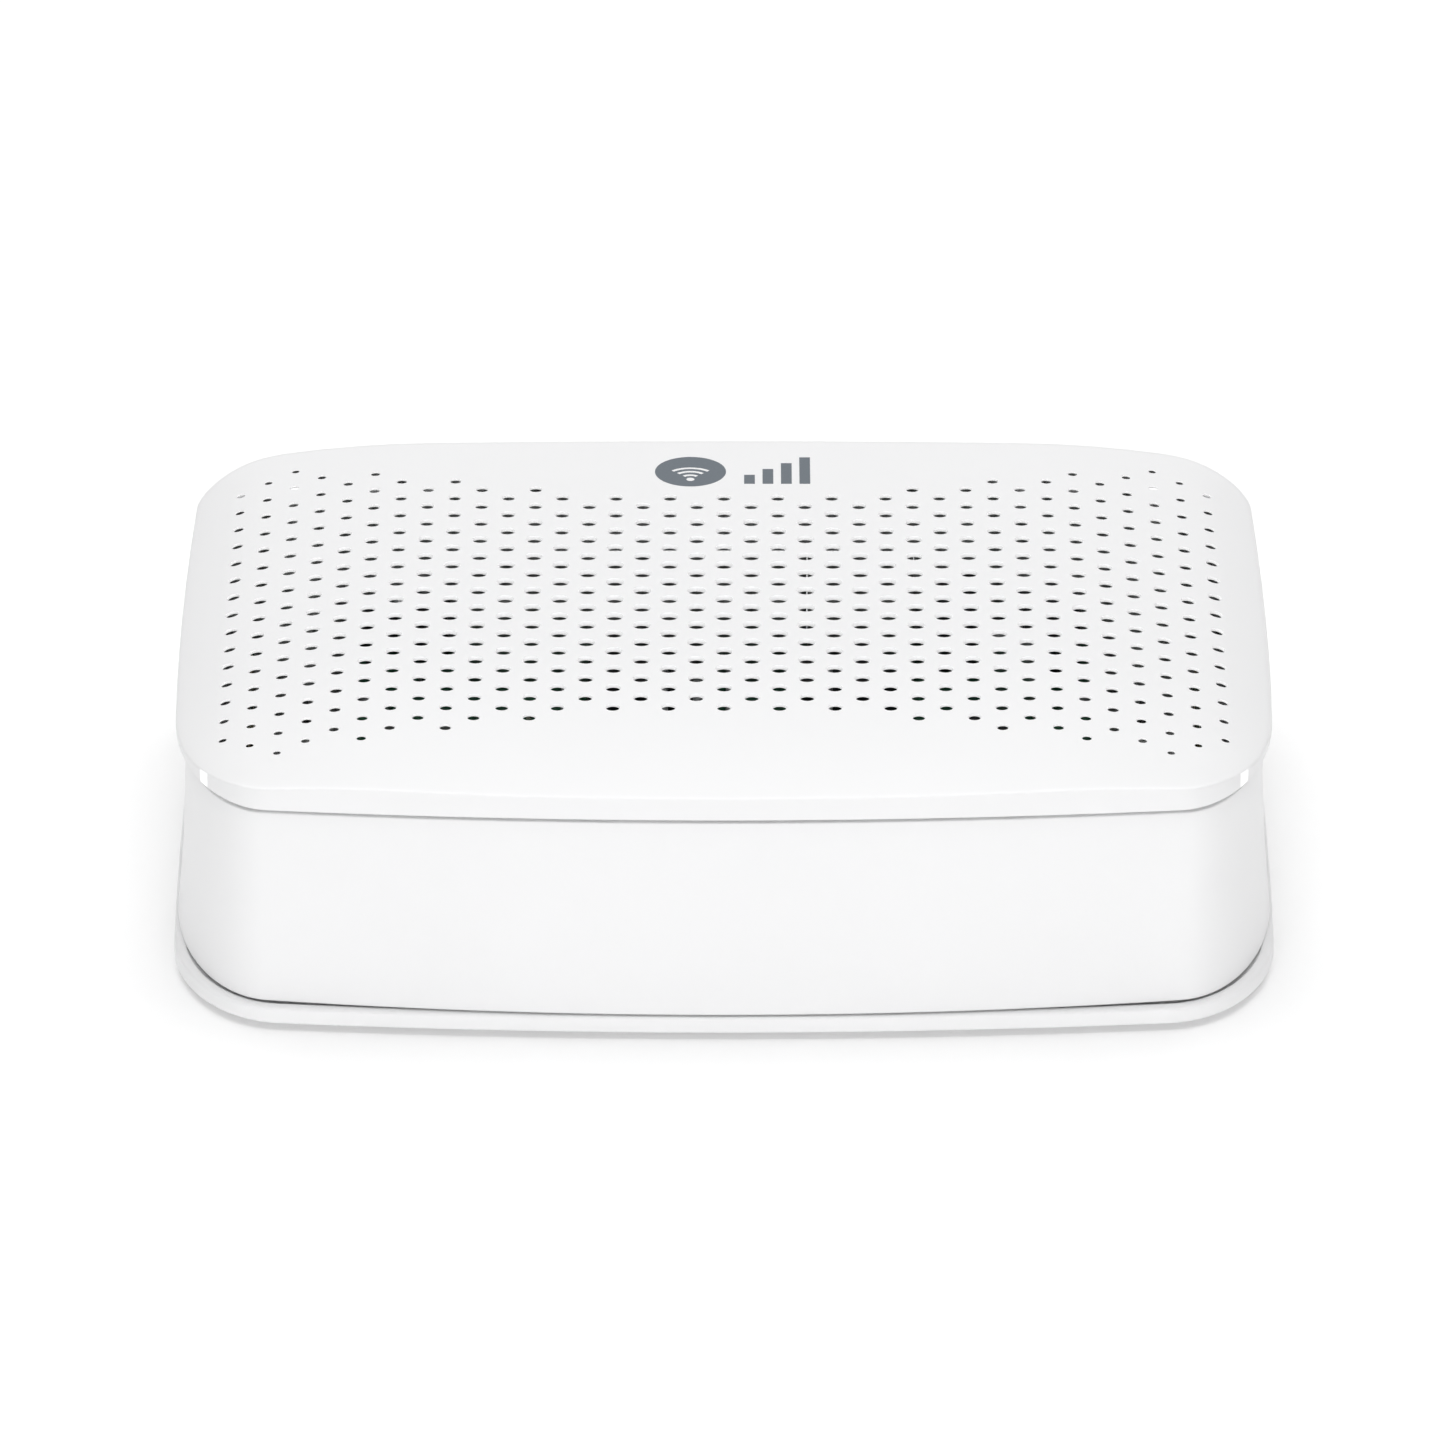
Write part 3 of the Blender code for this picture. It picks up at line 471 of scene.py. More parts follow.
def crown(x, y):
    # height of the cover's skin: it falls to the sides, faster at their edge, and to the front
    side = max(0.0, abs(x) - cover["sideStart"])
    edge = max(0.0, abs(x) - cover["edgeStart"])
    front = max(0.0, -y - cover["frontStart"])
    frontShare = 1.0 - cover["frontLoss"] * min(1.0, (abs(x) / cover["edgeStart"]) ** 4)
    fall = cover["sideRate"] * side ** 2 + cover["edgeRate"] * edge ** 2
    return coverHigh.z - cover["printRoom"] - fall - cover["frontRate"] * front ** 2 * frontShare


def bodyPlan(z):
    # concave flare from the head of the wall to its foot
    share = (bodyHigh.z - z) / (bodyHigh.z - bodyLow.z)
    return {k: bodyHead[k] + (bodyFoot[k] - bodyHead[k]) * share ** 2 if isinstance(bodyHead[k], float)
            else bodyHead[k] for k in bodyHead}


# perforated cover

def ventRows(column):
    # how many rows the field reaches from its middle at a column; it grows towards the ends
    reach = vent["rowsAtMiddle"] + vent["rowsGained"] * (abs(column) / vent["gainColumn"]) ** 1.5
    return min(reach, {17: 7.6, 18: 7.1}.get(abs(column), reach))


def holeRadius(column, row):
    spread = (row / vent["fadeRows"]) ** 2 + (column / vent["fadeColumns"]) ** 2
    return vent["middleDiameter"] / 2 * (1 - vent["fade"] * spread)


def cellAt(x, y):
    # column and row of the vent cell that holds a point; odd columns are shifted by half a row
    column = round(x / vent["pitchX"])
    shift = 0.5 * (column % 2)
    return column, round((y - vent["middleY"]) / vent["pitchY"] - shift) + shift


def isOnHole(point):
    # rim of a vent hole: the point lies a hole's radius from the middle of its cell
    column, row = cellAt(point.x, point.y)
    centre = Vector((column * vent["pitchX"], vent["middleY"] + row * vent["pitchY"]))
    return abs((point.xy - centre).length - holeRadius(column, row)) < 1e-6


def insideOutline(points, x, y, margin):
    # true if a point is inside a convex outline by a margin
    for a, b in zip(points, points[1:] + points[:1]):
        run = Vector((b.x - a.x, b.y - a.y))
        if run.length < 1e-9:
            continue
        offset = (run.x * (y - a.y) - run.y * (x - a.x)) / run.length
        if offset < margin:
            return False
    return True


def makeCover():
    bm = bmesh.new()
    columns = 2 * vent["columns"] + 1
    rows = 2 * vent["rows"]
    bmesh.ops.create_grid(bm, x_segments=2 * columns, y_segments=6 * rows, size=1.0)
    wide = max(v.co.x for v in bm.verts)
    size = Vector((columns * vent["pitchX"] / 2 / wide, rows * vent["pitchY"] / 2 / wide, 1.0))
    bmesh.ops.scale(bm, vec=size, verts=bm.verts)
    bmesh.ops.translate(bm, vec=(0, vent["middleY"], 0), verts=bm.verts)
    border = ringPoints(coverPlan, cover["sheetInset"], 0.0)
    cells = {}
    for column in range(-vent["columns"], vent["columns"] + 1):
        odd = column % 2
        for i in range(-vent["rows"], vent["rows"] + 1):
            row = i + 0.5 * odd
            if abs(row) > vent["rows"] - 0.5:
                continue
            holed = abs(row) <= ventRows(column)
            x, y = column * vent["pitchX"], vent["middleY"] + row * vent["pitchY"]
            margin = 0.3 * mm if holed else cover["latticeInset"] - cover["sheetInset"]
            halfX, halfY = vent["pitchX"] / 2, vent["pitchY"] / 2
            corners = [(x + sx * halfX, y + sy * halfY) for sx in (-1, 1) for sy in (-1, 1)]
            if holed or all(insideOutline(border, px, py, margin) for px, py in corners):
                cells[(column, row)] = holed
    print("vent holes:", sum(cells.values()))

    stray = []
    for face in bm.faces:
        middle = face.calc_center_median()
        if cellAt(middle.x, middle.y) not in cells:
            stray.append(face)
    bmesh.ops.delete(bm, geom=stray, context="FACES")
    inner = []
    for vert in bm.verts:
        if all(cellAt(*f.calc_center_median().xy) == cellAt(*vert.link_faces[0].calc_center_median().xy)
               for f in vert.link_faces) and len(vert.link_faces) == 4:
            inner.append(vert)
    bmesh.ops.dissolve_verts(bm, verts=inner)
    holed = []
    for face in bm.faces:
        middle = face.calc_center_bounds()
        face.tag = cells[cellAt(middle.x, middle.y)]
        if face.tag:
            holed.append(face)
    bmesh.ops.inset_individual(bm, faces=holed, thickness=0.3 * mm)
    for face in holed:
        middle = face.calc_center_bounds()
        column, row = cellAt(middle.x, middle.y)
        centre = Vector((column * vent["pitchX"], vent["middleY"] + row * vent["pitchY"], 0))
        radius = holeRadius(column, row)
        verts = list(face.verts)
        angles = [math.atan2(v.co.y - centre.y, v.co.x - centre.x) for v in verts]
        first = min(range(len(verts)), key=lambda i: abs(angles[i] - math.pi / 2))
        for i in range(len(verts)):
            turn = math.pi / 2 + math.tau * i / len(verts)
            vert = verts[(first + i) % len(verts)]
            vert.co = centre + radius * Vector((math.cos(turn), math.sin(turn), 0))
    bmesh.ops.delete(bm, geom=holed, context="FACES_ONLY")

    # plain margin between the field and the outline, then the edge and the rim
    limits = [e for e in bm.edges if e.is_boundary and not isOnHole(e.verts[0].co)]
    ring = [bm.verts.new(p) for p in border]
    outer = [bm.edges.new(pair) for pair in zip(ring, ring[1:] + ring[:1])]
    bmesh.ops.triangle_fill(bm, use_beauty=True, use_dissolve=False, edges=limits + outer, normal=(0, 0, 1))
    for vert in bm.verts:
        vert.co.z = crown(vert.co.x, vert.co.y)
    radius = cover["edgeRadius"]
    rings = [ringPoints(coverPlan, inset * mm, crown) for inset in (0.9, radius / mm)]
    for turn in (30, 60, 90):
        a = math.radians(turn)
        drop = radius * (1 - math.cos(a))
        rings.append(ringPoints(coverPlan, radius * (1 - math.sin(a)), lambda x, y: crown(x, y) - drop))
    rings.append(ringPoints(coverPlan, 0.0, cover["rimBottom"]))
    growRings(bm, ring, outer, rings)
    bmesh.ops.recalc_face_normals(bm, faces=bm.faces)
    if sum(f.normal.z for f in bm.faces) < 0:
        bmesh.ops.reverse_faces(bm, faces=bm.faces)
    obj = piece("ventedCover", bm, coverWhitePaintedWallLight, stands=["top_cover"], angle=30)
    # the field is moulded thinner than the plain margin round it
    group = obj.vertex_groups.new(name="fullSkin")
    for vert in obj.data.vertices:
        smaller = holeRadius(*cellAt(vert.co.x, vert.co.y)) / holeRadius(0, 0)
        share = cover["fieldShare"] * smaller ** cover["thinning"]
        plain = not insideOutline(border, vert.co.x, vert.co.y, 0.05 * mm)
        group.add([vert.index], 1.0 if plain else max(share, cover["leastShare"]), "REPLACE")
    thick = obj.modifiers.new("skin", "SOLIDIFY")
    thick.thickness, thick.offset, thick.use_even_offset = cover["skin"], -1.0, True
    thick.vertex_group = group.name
    softenEdges(obj, 0.2 * mm, 1, 50)
    return obj


def makeCoverInside():
    # locating tongue and the four screw posts under the cover
    inset, width = cover["tongueInset"], cover["tongueWidth"]
    roof = cover["rimBottom"] + 0.4 * mm
    rings = [
        ringPoints(coverPlan, inset, roof), ringPoints(coverPlan, inset, cover["tongueBottom"] + 0.4 * mm),
        ringPoints(coverPlan, inset + 0.4 * mm, cover["tongueBottom"]),
        ringPoints(coverPlan, inset + width, cover["tongueBottom"]),
        ringPoints(coverPlan, inset + width, roof),
    ]
    bm = skin(rings, closed=True)
    for x, y in posts:
        outside, bore, foot = post["radius"], post["bore"], post["foot"]
        profile = [(outside, crown(x, y) - post["skinOverlap"]), (outside, foot), (bore, foot)]
        profile += [(bore, post["boreTop"])]
        lathe(profile, (x, y, 0), 28, bm=bm)
    bmesh.ops.recalc_face_normals(bm, faces=bm.faces)
    return piece("coverTongue", bm, shellWhite)


post = dict(radius=3.6 * mm, bore=1.6 * mm, foot=3.8 * mm, boreTop=16 * mm, skinOverlap=1.9 * mm)
posts = [(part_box(f"foot_{i}")[0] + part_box(f"foot_{i}")[1]).xy / 2 for i in range(1, 5)]
makeCover()
makeCoverInside()
print("cover made")


# body wall

def makeBody():
    heights = [bodyLow.z + (bodyHigh.z - bodyLow.z) * i / 10 for i in range(10)]
    low, high = bodyLow.z, bodyHigh.z
    outer = [ringPoints(bodyPlan(low), 0.15 * mm, low), ringPoints(bodyPlan(low), 0.0, low + 0.15 * mm)]
    outer += [ringPoints(bodyPlan(z), 0.0, z) for z in heights[1:]]
    edge = 0.22 * mm
    outer += [ringPoints(bodyPlan(high), edge * (1 - math.cos(a)), high - edge * (1 - math.sin(a)))
              for a in (0.0, 0.52, 1.05, 1.5708)]
    inner = [ringPoints(bodyPlan(high), 2 * mm, high)]
    inner += [ringPoints(bodyPlan(z), 2 * mm, z) for z in (18 * mm, 10 * mm, low)]
    wall = skin(outer + inner, closed=True)
    obj = piece("bodyWall", wall, shellWhite, stands=["body_shell"])
    tool = bmesh.new()
    margin, start, end = 0.12 * mm, 50 * mm, 64 * mm
    windows = [["wan_jack"], ["lan_jack_3", "lan_jack_1"], ["power_jack"]]
    for names in windows:
        low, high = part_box(names[0])[0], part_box(names[-1])[1]
        verts = addBox(tool, (low.x - margin, start, low.z - margin), (high.x + margin, end, high.z + margin))
        roundUprights(tool, verts, 1, 0.5 * mm, 3)
    rounds = [("power_button", 4.3, 48), ("pairing_button", 2.8, 36), ("status_light_pipe", 1.3, 24),
              ("reset_button", 0.8, 24)]
    for name, radius, sides in rounds:
        low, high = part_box(name)
        middle = (low + high) / 2
        part = lathe([(radius * mm, start), (radius * mm, end)], (middle.x, 0, middle.z), sides, "Y")
        addPart(tool, part)
    boolean(obj, tool)
    return obj


makeBody()
print("body made")


# base

base = dict(rimTop=3.5 * mm, floorTop=3.0 * mm, rimWidth=1.65 * mm, underside=baseLow.z, slotWidth=2 * mm,
            slotLength=20 * mm, slotPitch=12 * mm)


def makeBase():
    under = base["underside"]
    profile = [(1.0, 0.0), (0.55, 0.06), (0.25, 0.22), (0.08, 0.45), (0.0, 0.8)]
    rings = [ringPoints(basePlan, inset * mm, under + rise * mm) for inset, rise in profile]
    top = [(0.0, 0.42), (0.04, 0.24), (0.14, 0.1), (0.3, 0.02), (0.5, 0.0)]
    rings += [ringPoints(basePlan, inset * mm, base["rimTop"] - drop * mm) for inset, drop in top]
    rings += [ringPoints(basePlan, base["rimWidth"], base["rimTop"]),
              ringPoints(basePlan, base["rimWidth"], base["floorTop"])]
    obj = piece("baseTray", skin(rings), baseWhite, stands=["base_plate"])
    raised, sunk = bmesh.new(), bmesh.new()
    for i in range(1, 5):
        low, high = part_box(f"board_screw_{i}")
        x, y = (low.x + high.x) / 2, (low.y + high.y) / 2
        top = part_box("main_board")[0].z - 0.3 * mm
        addPart(raised, lathe([(3 * mm, 2 * mm), (3 * mm, top)], (x, y, 0), 24))
        addPart(sunk, lathe([(1.4 * mm, 3.4 * mm), (1.4 * mm, top + mm)], (x, y, 0), 16))
        low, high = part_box(f"aerial_{i}")
        side = math.copysign(1, low.x)
        near = min(abs(low.x), abs(high.x)) - 0.3 * mm
        edges = sorted((side * near, side * (near - 1.2 * mm)))
        middle = (low.y + high.y) / 2
        addBox(raised, (edges[0], middle - 5 * mm, 2 * mm), (edges[1], middle + 5 * mm, 12 * mm))
    for x, y in posts:
        seat = under + 1.3 * mm
        steps = [(2.9 * mm, -mm), (2.9 * mm, seat), (1.6 * mm, seat), (1.6 * mm, 6 * mm)]
        addPart(sunk, lathe(steps, (x, y, 0), 24))
    for row in (-25 * mm, 5 * mm):
        for column in range(-3, 4):
            x = column * base["slotPitch"]
            half = base["slotWidth"] / 2
            verts = addBox(sunk, (x - half, row, -mm), (x + half, row + base["slotLength"], 5 * mm))
            roundUprights(sunk, verts, 2, half * 0.98, 5)
    boolean(obj, raised, "UNION")
    boolean(obj, sunk)
    return obj


makeBase()
print("base made")

# printed mark on the cover

mark = dict(discX=-5.0 * mm, discY=47.7 * mm, discRadius=5.3 * mm, lift=0.03 * mm, arcWidth=0.62 * mm,
            arcRadii=(1.5 * mm, 2.75 * mm, 4.0 * mm), arcTurn=42, dotRadius=0.62 * mm,
            barDrop=1.6 * mm, barX=3.0 * mm, barPitch=2.75 * mm, barWidth=1.6 * mm,
            barHeights=(3.2, 5.3, 7.4, 9.5))


def inkSheet(bm, outline):
    # a flat outline, filled
    return bm.faces.new([bm.verts.new((x, y, 0)) for x, y in outline])


def arcBand(middle, radius, width, turn, stepsRound=14):
    # outline of a band of arc that opens upwards from a middle point
    points = []
    for r, way in ((radius + width / 2, 1), (radius - width / 2, -1)):
        for i in range(stepsRound + 1):
            a = math.radians(90 - way * turn + way * 2 * turn * i / stepsRound)
            points.append((middle[0] + r * math.cos(a), middle[1] + r * math.sin(a)))
    return points


def makeMark():
    bm = bmesh.new()
    x0, y0, r = mark["discX"], mark["discY"], mark["discRadius"]
    place = Matrix.Translation((x0, y0, 0))
    bmesh.ops.create_circle(bm, cap_ends=True, segments=72, radius=r, matrix=place)
    arcFoot = y0 - r * 0.52
    foot = arcFoot - mark["barDrop"]
    for i, height in enumerate(mark["barHeights"]):
        x = mark["barX"] + i * mark["barPitch"]
        top = foot + height * mm
        inkSheet(bm, [(x, foot), (x + mark["barWidth"], foot), (x + mark["barWidth"], top), (x, top)])
    bmesh.ops.recalc_face_normals(bm, faces=bm.faces)
    for face in bm.faces:
        if face.normal.z < 0:
            face.normal_flip()
    grown = bmesh.ops.extrude_face_region(bm, geom=bm.faces[:])["geom"]
    bmesh.ops.translate(bm, vec=(0, 0, mm), verts=[g for g in grown if isinstance(g, bmesh.types.BMVert)])
    obj = piece("printedMark", bm, inkGrey)
    cuts = bmesh.new()
    outlines = [arcBand((x0, arcFoot), radius, mark["arcWidth"], mark["arcTurn"])
                for radius in mark["arcRadii"]]
    outlines.append([(x0 + mark["dotRadius"] * math.cos(math.tau * i / 20),
                      arcFoot + mark["dotRadius"] * math.sin(math.tau * i / 20)) for i in range(20)])
    for outline in outlines:
        part = bmesh.new()
        face = inkSheet(part, outline)
        grown = bmesh.ops.extrude_face_region(part, geom=[face])["geom"]
        lifted = [g for g in grown if isinstance(g, bmesh.types.BMVert)]
        bmesh.ops.translate(part, vec=(0, 0, 4 * mm), verts=lifted)
        bmesh.ops.translate(part, vec=(0, 0, -mm), verts=part.verts)
        addPart(cuts, part)
    boolean(obj, cuts)
    # lay both faces of the ink on the cover
    for vert in obj.data.vertices:
        top = crown(vert.co.x, vert.co.y)
        vert.co.z = top + (mark["lift"] if vert.co.z > mm / 2 else -0.02 * mm)
    return obj


makeMark()
print("mark made")


# network sockets

jack = dict(wall=0.30 * mm, mouthWidth=11.9 * mm, mouthHeight=6.8 * mm, mouthLift=4.4 * mm,
            depth=13.0 * mm, latchWidth=6.2 * mm, latchDrop=2.2 * mm,
            latchTipWidth=3.2 * mm, latchTipDrop=1.3 * mm,
            contactBends=((7.2, 0.5), (8.4, 0.9), (8.6, 1.5), (7.6, 2.0), (2.0, 3.6)),
            contacts=8, contactPitch=1.02 * mm, contactRadius=0.22 * mm,
            lightWidth=2.4 * mm, lightHeight=1.7 * mm)


def keyedOutline(x, low):
    # mouth of the socket: a wide slot with the stepped way for the plug's latch below it
    half, latch, tip = jack["mouthWidth"] / 2, jack["latchWidth"] / 2, jack["latchTipWidth"] / 2
    step = low - jack["latchDrop"]
    end = step - jack["latchTipDrop"]
    side = [(half, low + jack["mouthHeight"]), (half, low), (latch, low), (latch, step)]
    side += [(tip, step), (tip, end)]
    return [(x + px, z) for px, z in side] + [(x - px, z) for px, z in reversed(side)]


def makeJack(name, colour):
    low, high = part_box(name)
    x = (low.x + high.x) / 2
    floor = low.z + jack["mouthLift"]
    back = high.y - jack["depth"]
    insert = bmesh.new()
    wall = jack["wall"]
    addBox(insert, (low.x + wall, low.y + wall, low.z + wall),
           (high.x - wall, high.y - 0.25 * mm, high.z - wall))
    obj = piece(f"{name}Insert", insert, colour)
    outline = keyedOutline(x, floor)
    mouth = skin([[Vector((px, py, pz)) for px, pz in outline] for py in (back, high.y + mm)])
    boolean(obj, mouth)
    softenEdges(obj, 0.25 * mm, 2, 50)

    shield = bmesh.new()
    addBox(shield, low, high, 0.35 * mm, 2)
    can = piece(f"{name}Shield", shield, shieldTin, stands=[name])
    hollow = bmesh.new()
    inset = wall * 0.98
    addBox(hollow, (low.x + inset, low.y + inset, low.z + inset),
           (high.x - inset, high.y + mm, high.z - inset))
    boolean(can, hollow)
    # grounding springs along the can's two sides
    extra = bmesh.new()
    for side in (-1, 1):
        edge = low.x if side < 0 else high.x
        spring = lathe([(0.05 * mm, 0), (0.34 * mm, 0.5 * mm), (0.34 * mm, 5.2 * mm), (0.05 * mm, 5.8 * mm)],
                       (edge - side * 0.32 * mm, high.y - 7.6 * mm, (low.z + high.z) / 2), 12, "Y")
        addPart(extra, spring)
    piece(f"{name}Springs", extra, shieldTin)

    pins = bmesh.new()
    top = floor + jack["mouthHeight"]
    for i in range(jack["contacts"]):
        px = x + (i - (jack["contacts"] - 1) / 2) * jack["contactPitch"]
        r = jack["contactRadius"]
        route = [(back + 0.4 * mm, top - 0.2 * mm - r)]
        route += [(back + y * mm, top - z * mm) for y, z in jack["contactBends"]]
        rings = []
        for n, (y, z) in enumerate(route):
            before, after = route[max(n - 1, 0)], route[min(n + 1, len(route) - 1)]
            run = Vector((0, after[0] - before[0], after[1] - before[1])).normalized()
            across = Vector((0, -run.z, run.y))
            rings.append([Vector((px, y, z)) + r * (Vector((math.cos(a), 0, 0)) + across * math.sin(a))
                          for a in [math.tau * k / 8 for k in range(8)]])
        addPart(pins, skin(rings))
    bmesh.ops.recalc_face_normals(pins, faces=pins.faces)
    piece(f"{name}Contacts", pins, contactGold, stands=[f"{name}_contacts"])

    for side, lens in ((-1, linkLens), (1, busyLens)):
        window = bmesh.new()
        mid = x + side * (high.x - x - wall - jack["lightWidth"] / 2 - 0.5 * mm)
        z = low.z + 1.0 * mm
        addBox(window, (mid - jack["lightWidth"] / 2, high.y - 3 * mm, z),
               (mid + jack["lightWidth"] / 2, high.y - 0.12 * mm, z + jack["lightHeight"]), 0.15 * mm, 2)
        piece(f"{name}{'Link' if side < 0 else 'Busy'}Light", window, lens)


def lightLens(name, colour):
    # diffusing lens over a lamp that is off
    f = Finish(name, colour, 0.18, **{"Coat Weight": 0.5, "Coat Roughness": 0.08})
    cloud = f.noise(1400.0, 2.0, 0.5)
    f.set(**{"Base Color": f.mix(cloud, colour, tuple(c * 0.8 for c in colour))})
    f.bump(cloud, 0.01 * mm)
    return f.mat


linkLens = lightLens("linkLens", (0.30, 0.52, 0.26))
busyLens = lightLens("busyLens", (0.66, 0.44, 0.12))
makeJack("wan_jack", wanBlue)
for number in (1, 2, 3):
    makeJack(f"lan_jack_{number}", socketBlack)
print("sockets made")


# power inlet, buttons and status light

def middleOf(name):
    low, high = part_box(name)
    return (low + high) / 2, low, high


def makePowerInlet():
    middle, low, high = middleOf("power_jack")
    bm = bmesh.new()
    addBox(bm, low, high, 0.4 * mm, 3)
    obj = piece("powerInlet", bm, socketBlack, stands=["power_jack"])
    bore = [(3.1 * mm, high.y - 9.8 * mm), (3.1 * mm, high.y - 0.35 * mm), (3.5 * mm, high.y + 0.05 * mm),
            (3.5 * mm, high.y + mm)]
    boolean(obj, lathe(bore, (middle.x, 0, middle.z), 48, "Y"))
    pinMiddle, pinLow, pinHigh = middleOf("power_jack_pin")
    r = (pinHigh.x - pinLow.x) / 2
    steps = [(r, pinLow.y), (r, pinHigh.y - 0.8 * mm), (r * 0.93, pinHigh.y - 0.4 * mm)]
    steps += [(r * 0.7, pinHigh.y - 0.12 * mm), (r * 0.35, pinHigh.y)]
    bm = lathe(steps, (pinMiddle.x, 0, pinMiddle.z), 32, "Y")
    piece("powerInletPin", bm, screwSteel, stands=["power_jack_pin"])
    spring = bmesh.new()
    addBox(spring, (middle.x - 1.1 * mm, high.y - 9.0 * mm, middle.z - 3.02 * mm),
           (middle.x + 1.1 * mm, high.y - 2.2 * mm, middle.z - 2.72 * mm), 0.12 * mm, 2)
    piece("powerInletSpring", spring, shieldTin)


def makeButton(name, capRadius, flangeFront, flangeRear, stem, dish):
    # turned push button: stem, retaining flange, and a cap with a rounded edge and a dished face
    middle, low, high = middleOf(name)
    edge = 0.45 * mm
    profile = [(stem, low.y), (stem, flangeFront - 0.9 * mm), (capRadius, flangeFront - 0.9 * mm)]
    flange = capRadius + 0.9 * mm
    profile += [(capRadius, flangeFront), (flange, flangeFront), (flange, flangeRear)]
    profile += [(capRadius, flangeRear)]
    profile += [(capRadius - edge * (1 - math.cos(a)), high.y - edge * (1 - math.sin(a)))
                for a in [math.pi / 2 * i / 4 for i in range(5)]]
    profile += [(capRadius * share, high.y - dish * (1 - share ** 2)) for share in (0.8, 0.55, 0.28, 0.0)]
    bm = lathe(profile, (middle.x, 0, middle.z), 48, "Y")
    return piece(f"{name.split('_')[0]}Cap", bm, buttonGrey, body=name, stands=[name],
                 angle=40)


buttons = dict(
    power_button=dict(capRadius=3.9 * mm, flangeFront=53.0 * mm, flangeRear=54.0 * mm, stem=1.7 * mm,
                      dish=0.25 * mm),
    pairing_button=dict(capRadius=2.4 * mm, flangeFront=53.4 * mm, flangeRear=54.0 * mm, stem=1.2 * mm,
                        dish=0.12 * mm))


def makeControls():
    for name, sizes in buttons.items():
        makeButton(name, **sizes)
    middle, low, high = middleOf("reset_button")
    r = 1.2 * mm
    steps = [(r, low.y), (r, high.y - 0.3 * mm), (r * 0.85, high.y), (0.0, high.y)]
    piece("resetPlunger", lathe(steps, (middle.x, 0, middle.z), 32, "Y"), chipBlack, body="reset_button",
          stands=["reset_button"])
    middle, low, high = middleOf("status_light_pipe")
    r = 1.0 * mm
    steps = [(r, low.y), (r, high.y - 0.3 * mm), (r * 0.75, high.y - 0.08 * mm), (0.0, high.y)]
    piece("statusLens", lathe(steps, (middle.x, 0, middle.z), 32, "Y"), acrylic,
          stands=["status_light_pipe"])


def makeSwitches():
    # switch and lamp bodies, each with a short round plunger or dome at the rear
    for name in ("power_switch", "pairing_switch", "reset_switch", "status_led"):
        middle, low, high = middleOf(name)
        bm = bmesh.new()
        addBox(bm, low, (high.x, high.y - 0.4 * mm, high.z), 0.2 * mm, 2)
        r = min(high.x - low.x, high.z - low.z) * 0.22
        z = 16.5 * mm
        steps = [(r, high.y - 0.5 * mm), (r, high.y - 0.1 * mm), (r * 0.8, high.y)]
        addPart(bm, lathe(steps, (middle.x, 0, z), 20, "Y"))
        piece(f"{name.replace('_', '')}Body", bm, chipBlack, stands=[name])


makePowerInlet()
makeControls()
makeSwitches()
print("controls made")


# board and what stands on it

def makeSmallParts():
    # rows of chip resistors and capacitors, placed clear of the large parts
    rng = random.Random(7)
    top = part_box("main_board")[1].z + 0.02 * mm
    blocked = ["processor_chip", "heat_sink", "memory_chip", "flash_chip", "radio_shield_low_band",
               "radio_shield_high_band", "network_transformer_1", "network_transformer_2", "power_inductor",
               "power_capacitor_1", "power_capacitor_2", "wan_jack", "lan_jack_1", "lan_jack_2", "lan_jack_3",
               "power_jack", "power_switch", "pairing_switch", "reset_switch", "status_led"]
    blocked += [f"board_screw_{i}" for i in range(1, 5)] + [f"aerial_plug_{i}" for i in range(1, 5)]
    clear = Vector((1.2, 1.2, 0)) * mm
    taken = [(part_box(n)[0] - clear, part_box(n)[1] + clear) for n in blocked]
    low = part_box("main_board")[0]
    bodies, ends = bmesh.new(), bmesh.new()
    for column in range(26):
        for row in range(20):
            if rng.random() < 0.45:
                continue
            x = low.x + 4 * mm + column * 4.2 * mm
            y = low.y + 4 * mm + row * 4.2 * mm
            if any(a.x < x < b.x and a.y < y < b.y for a, b in taken):
                continue
            long, wide, tall = rng.choice([(1.6, 0.8, 0.5), (1.0, 0.5, 0.4), (2.0, 1.25, 0.9)])
            turned = rng.random() < 0.5
            half = Vector((long, wide, 0)) * mm / 2
            cap = Vector((long * 0.22, 0, 0)) * mm
            if turned:
                half, cap = Vector((half.y, half.x, 0)), Vector((0, cap.x, 0))
            addBox(bodies, Vector((x, y, top)) - half + cap, Vector((x, y, top + tall * mm)) + half - cap)
            for side in (-1, 1):
                shift = (half - cap / 2) * side
                shift = Vector((shift.x * (cap.x > 0), shift.y * (cap.y > 0), 0))
                size = Vector((cap.x / 2 if cap.x else half.x, cap.y / 2 if cap.y else half.y, 0))
                centre = Vector((x, y, top)) + shift
                addBox(ends, centre - size, centre + size + Vector((0, 0, tall * mm + 0.03 * mm)))
    piece("smallParts", bodies, chipBlack)
    piece("smallPartEnds", ends, shieldTin)


def makeBoard():
    low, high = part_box("main_board")
    bm = bmesh.new()
    verts = addBox(bm, low, high)
    roundUprights(bm, verts, 2, 2 * mm, 6)
    obj = piece("circuitBoard", bm, boardGreen, stands=["main_board"])
    holes = bmesh.new()
    for i in range(1, 5):
        middle = middleOf(f"board_screw_{i}")[0]
        addPart(holes, lathe([(1.8 * mm, low.z - mm), (1.8 * mm, high.z + mm)], (middle.x, middle.y, 0), 32))
    boolean(obj, holes)


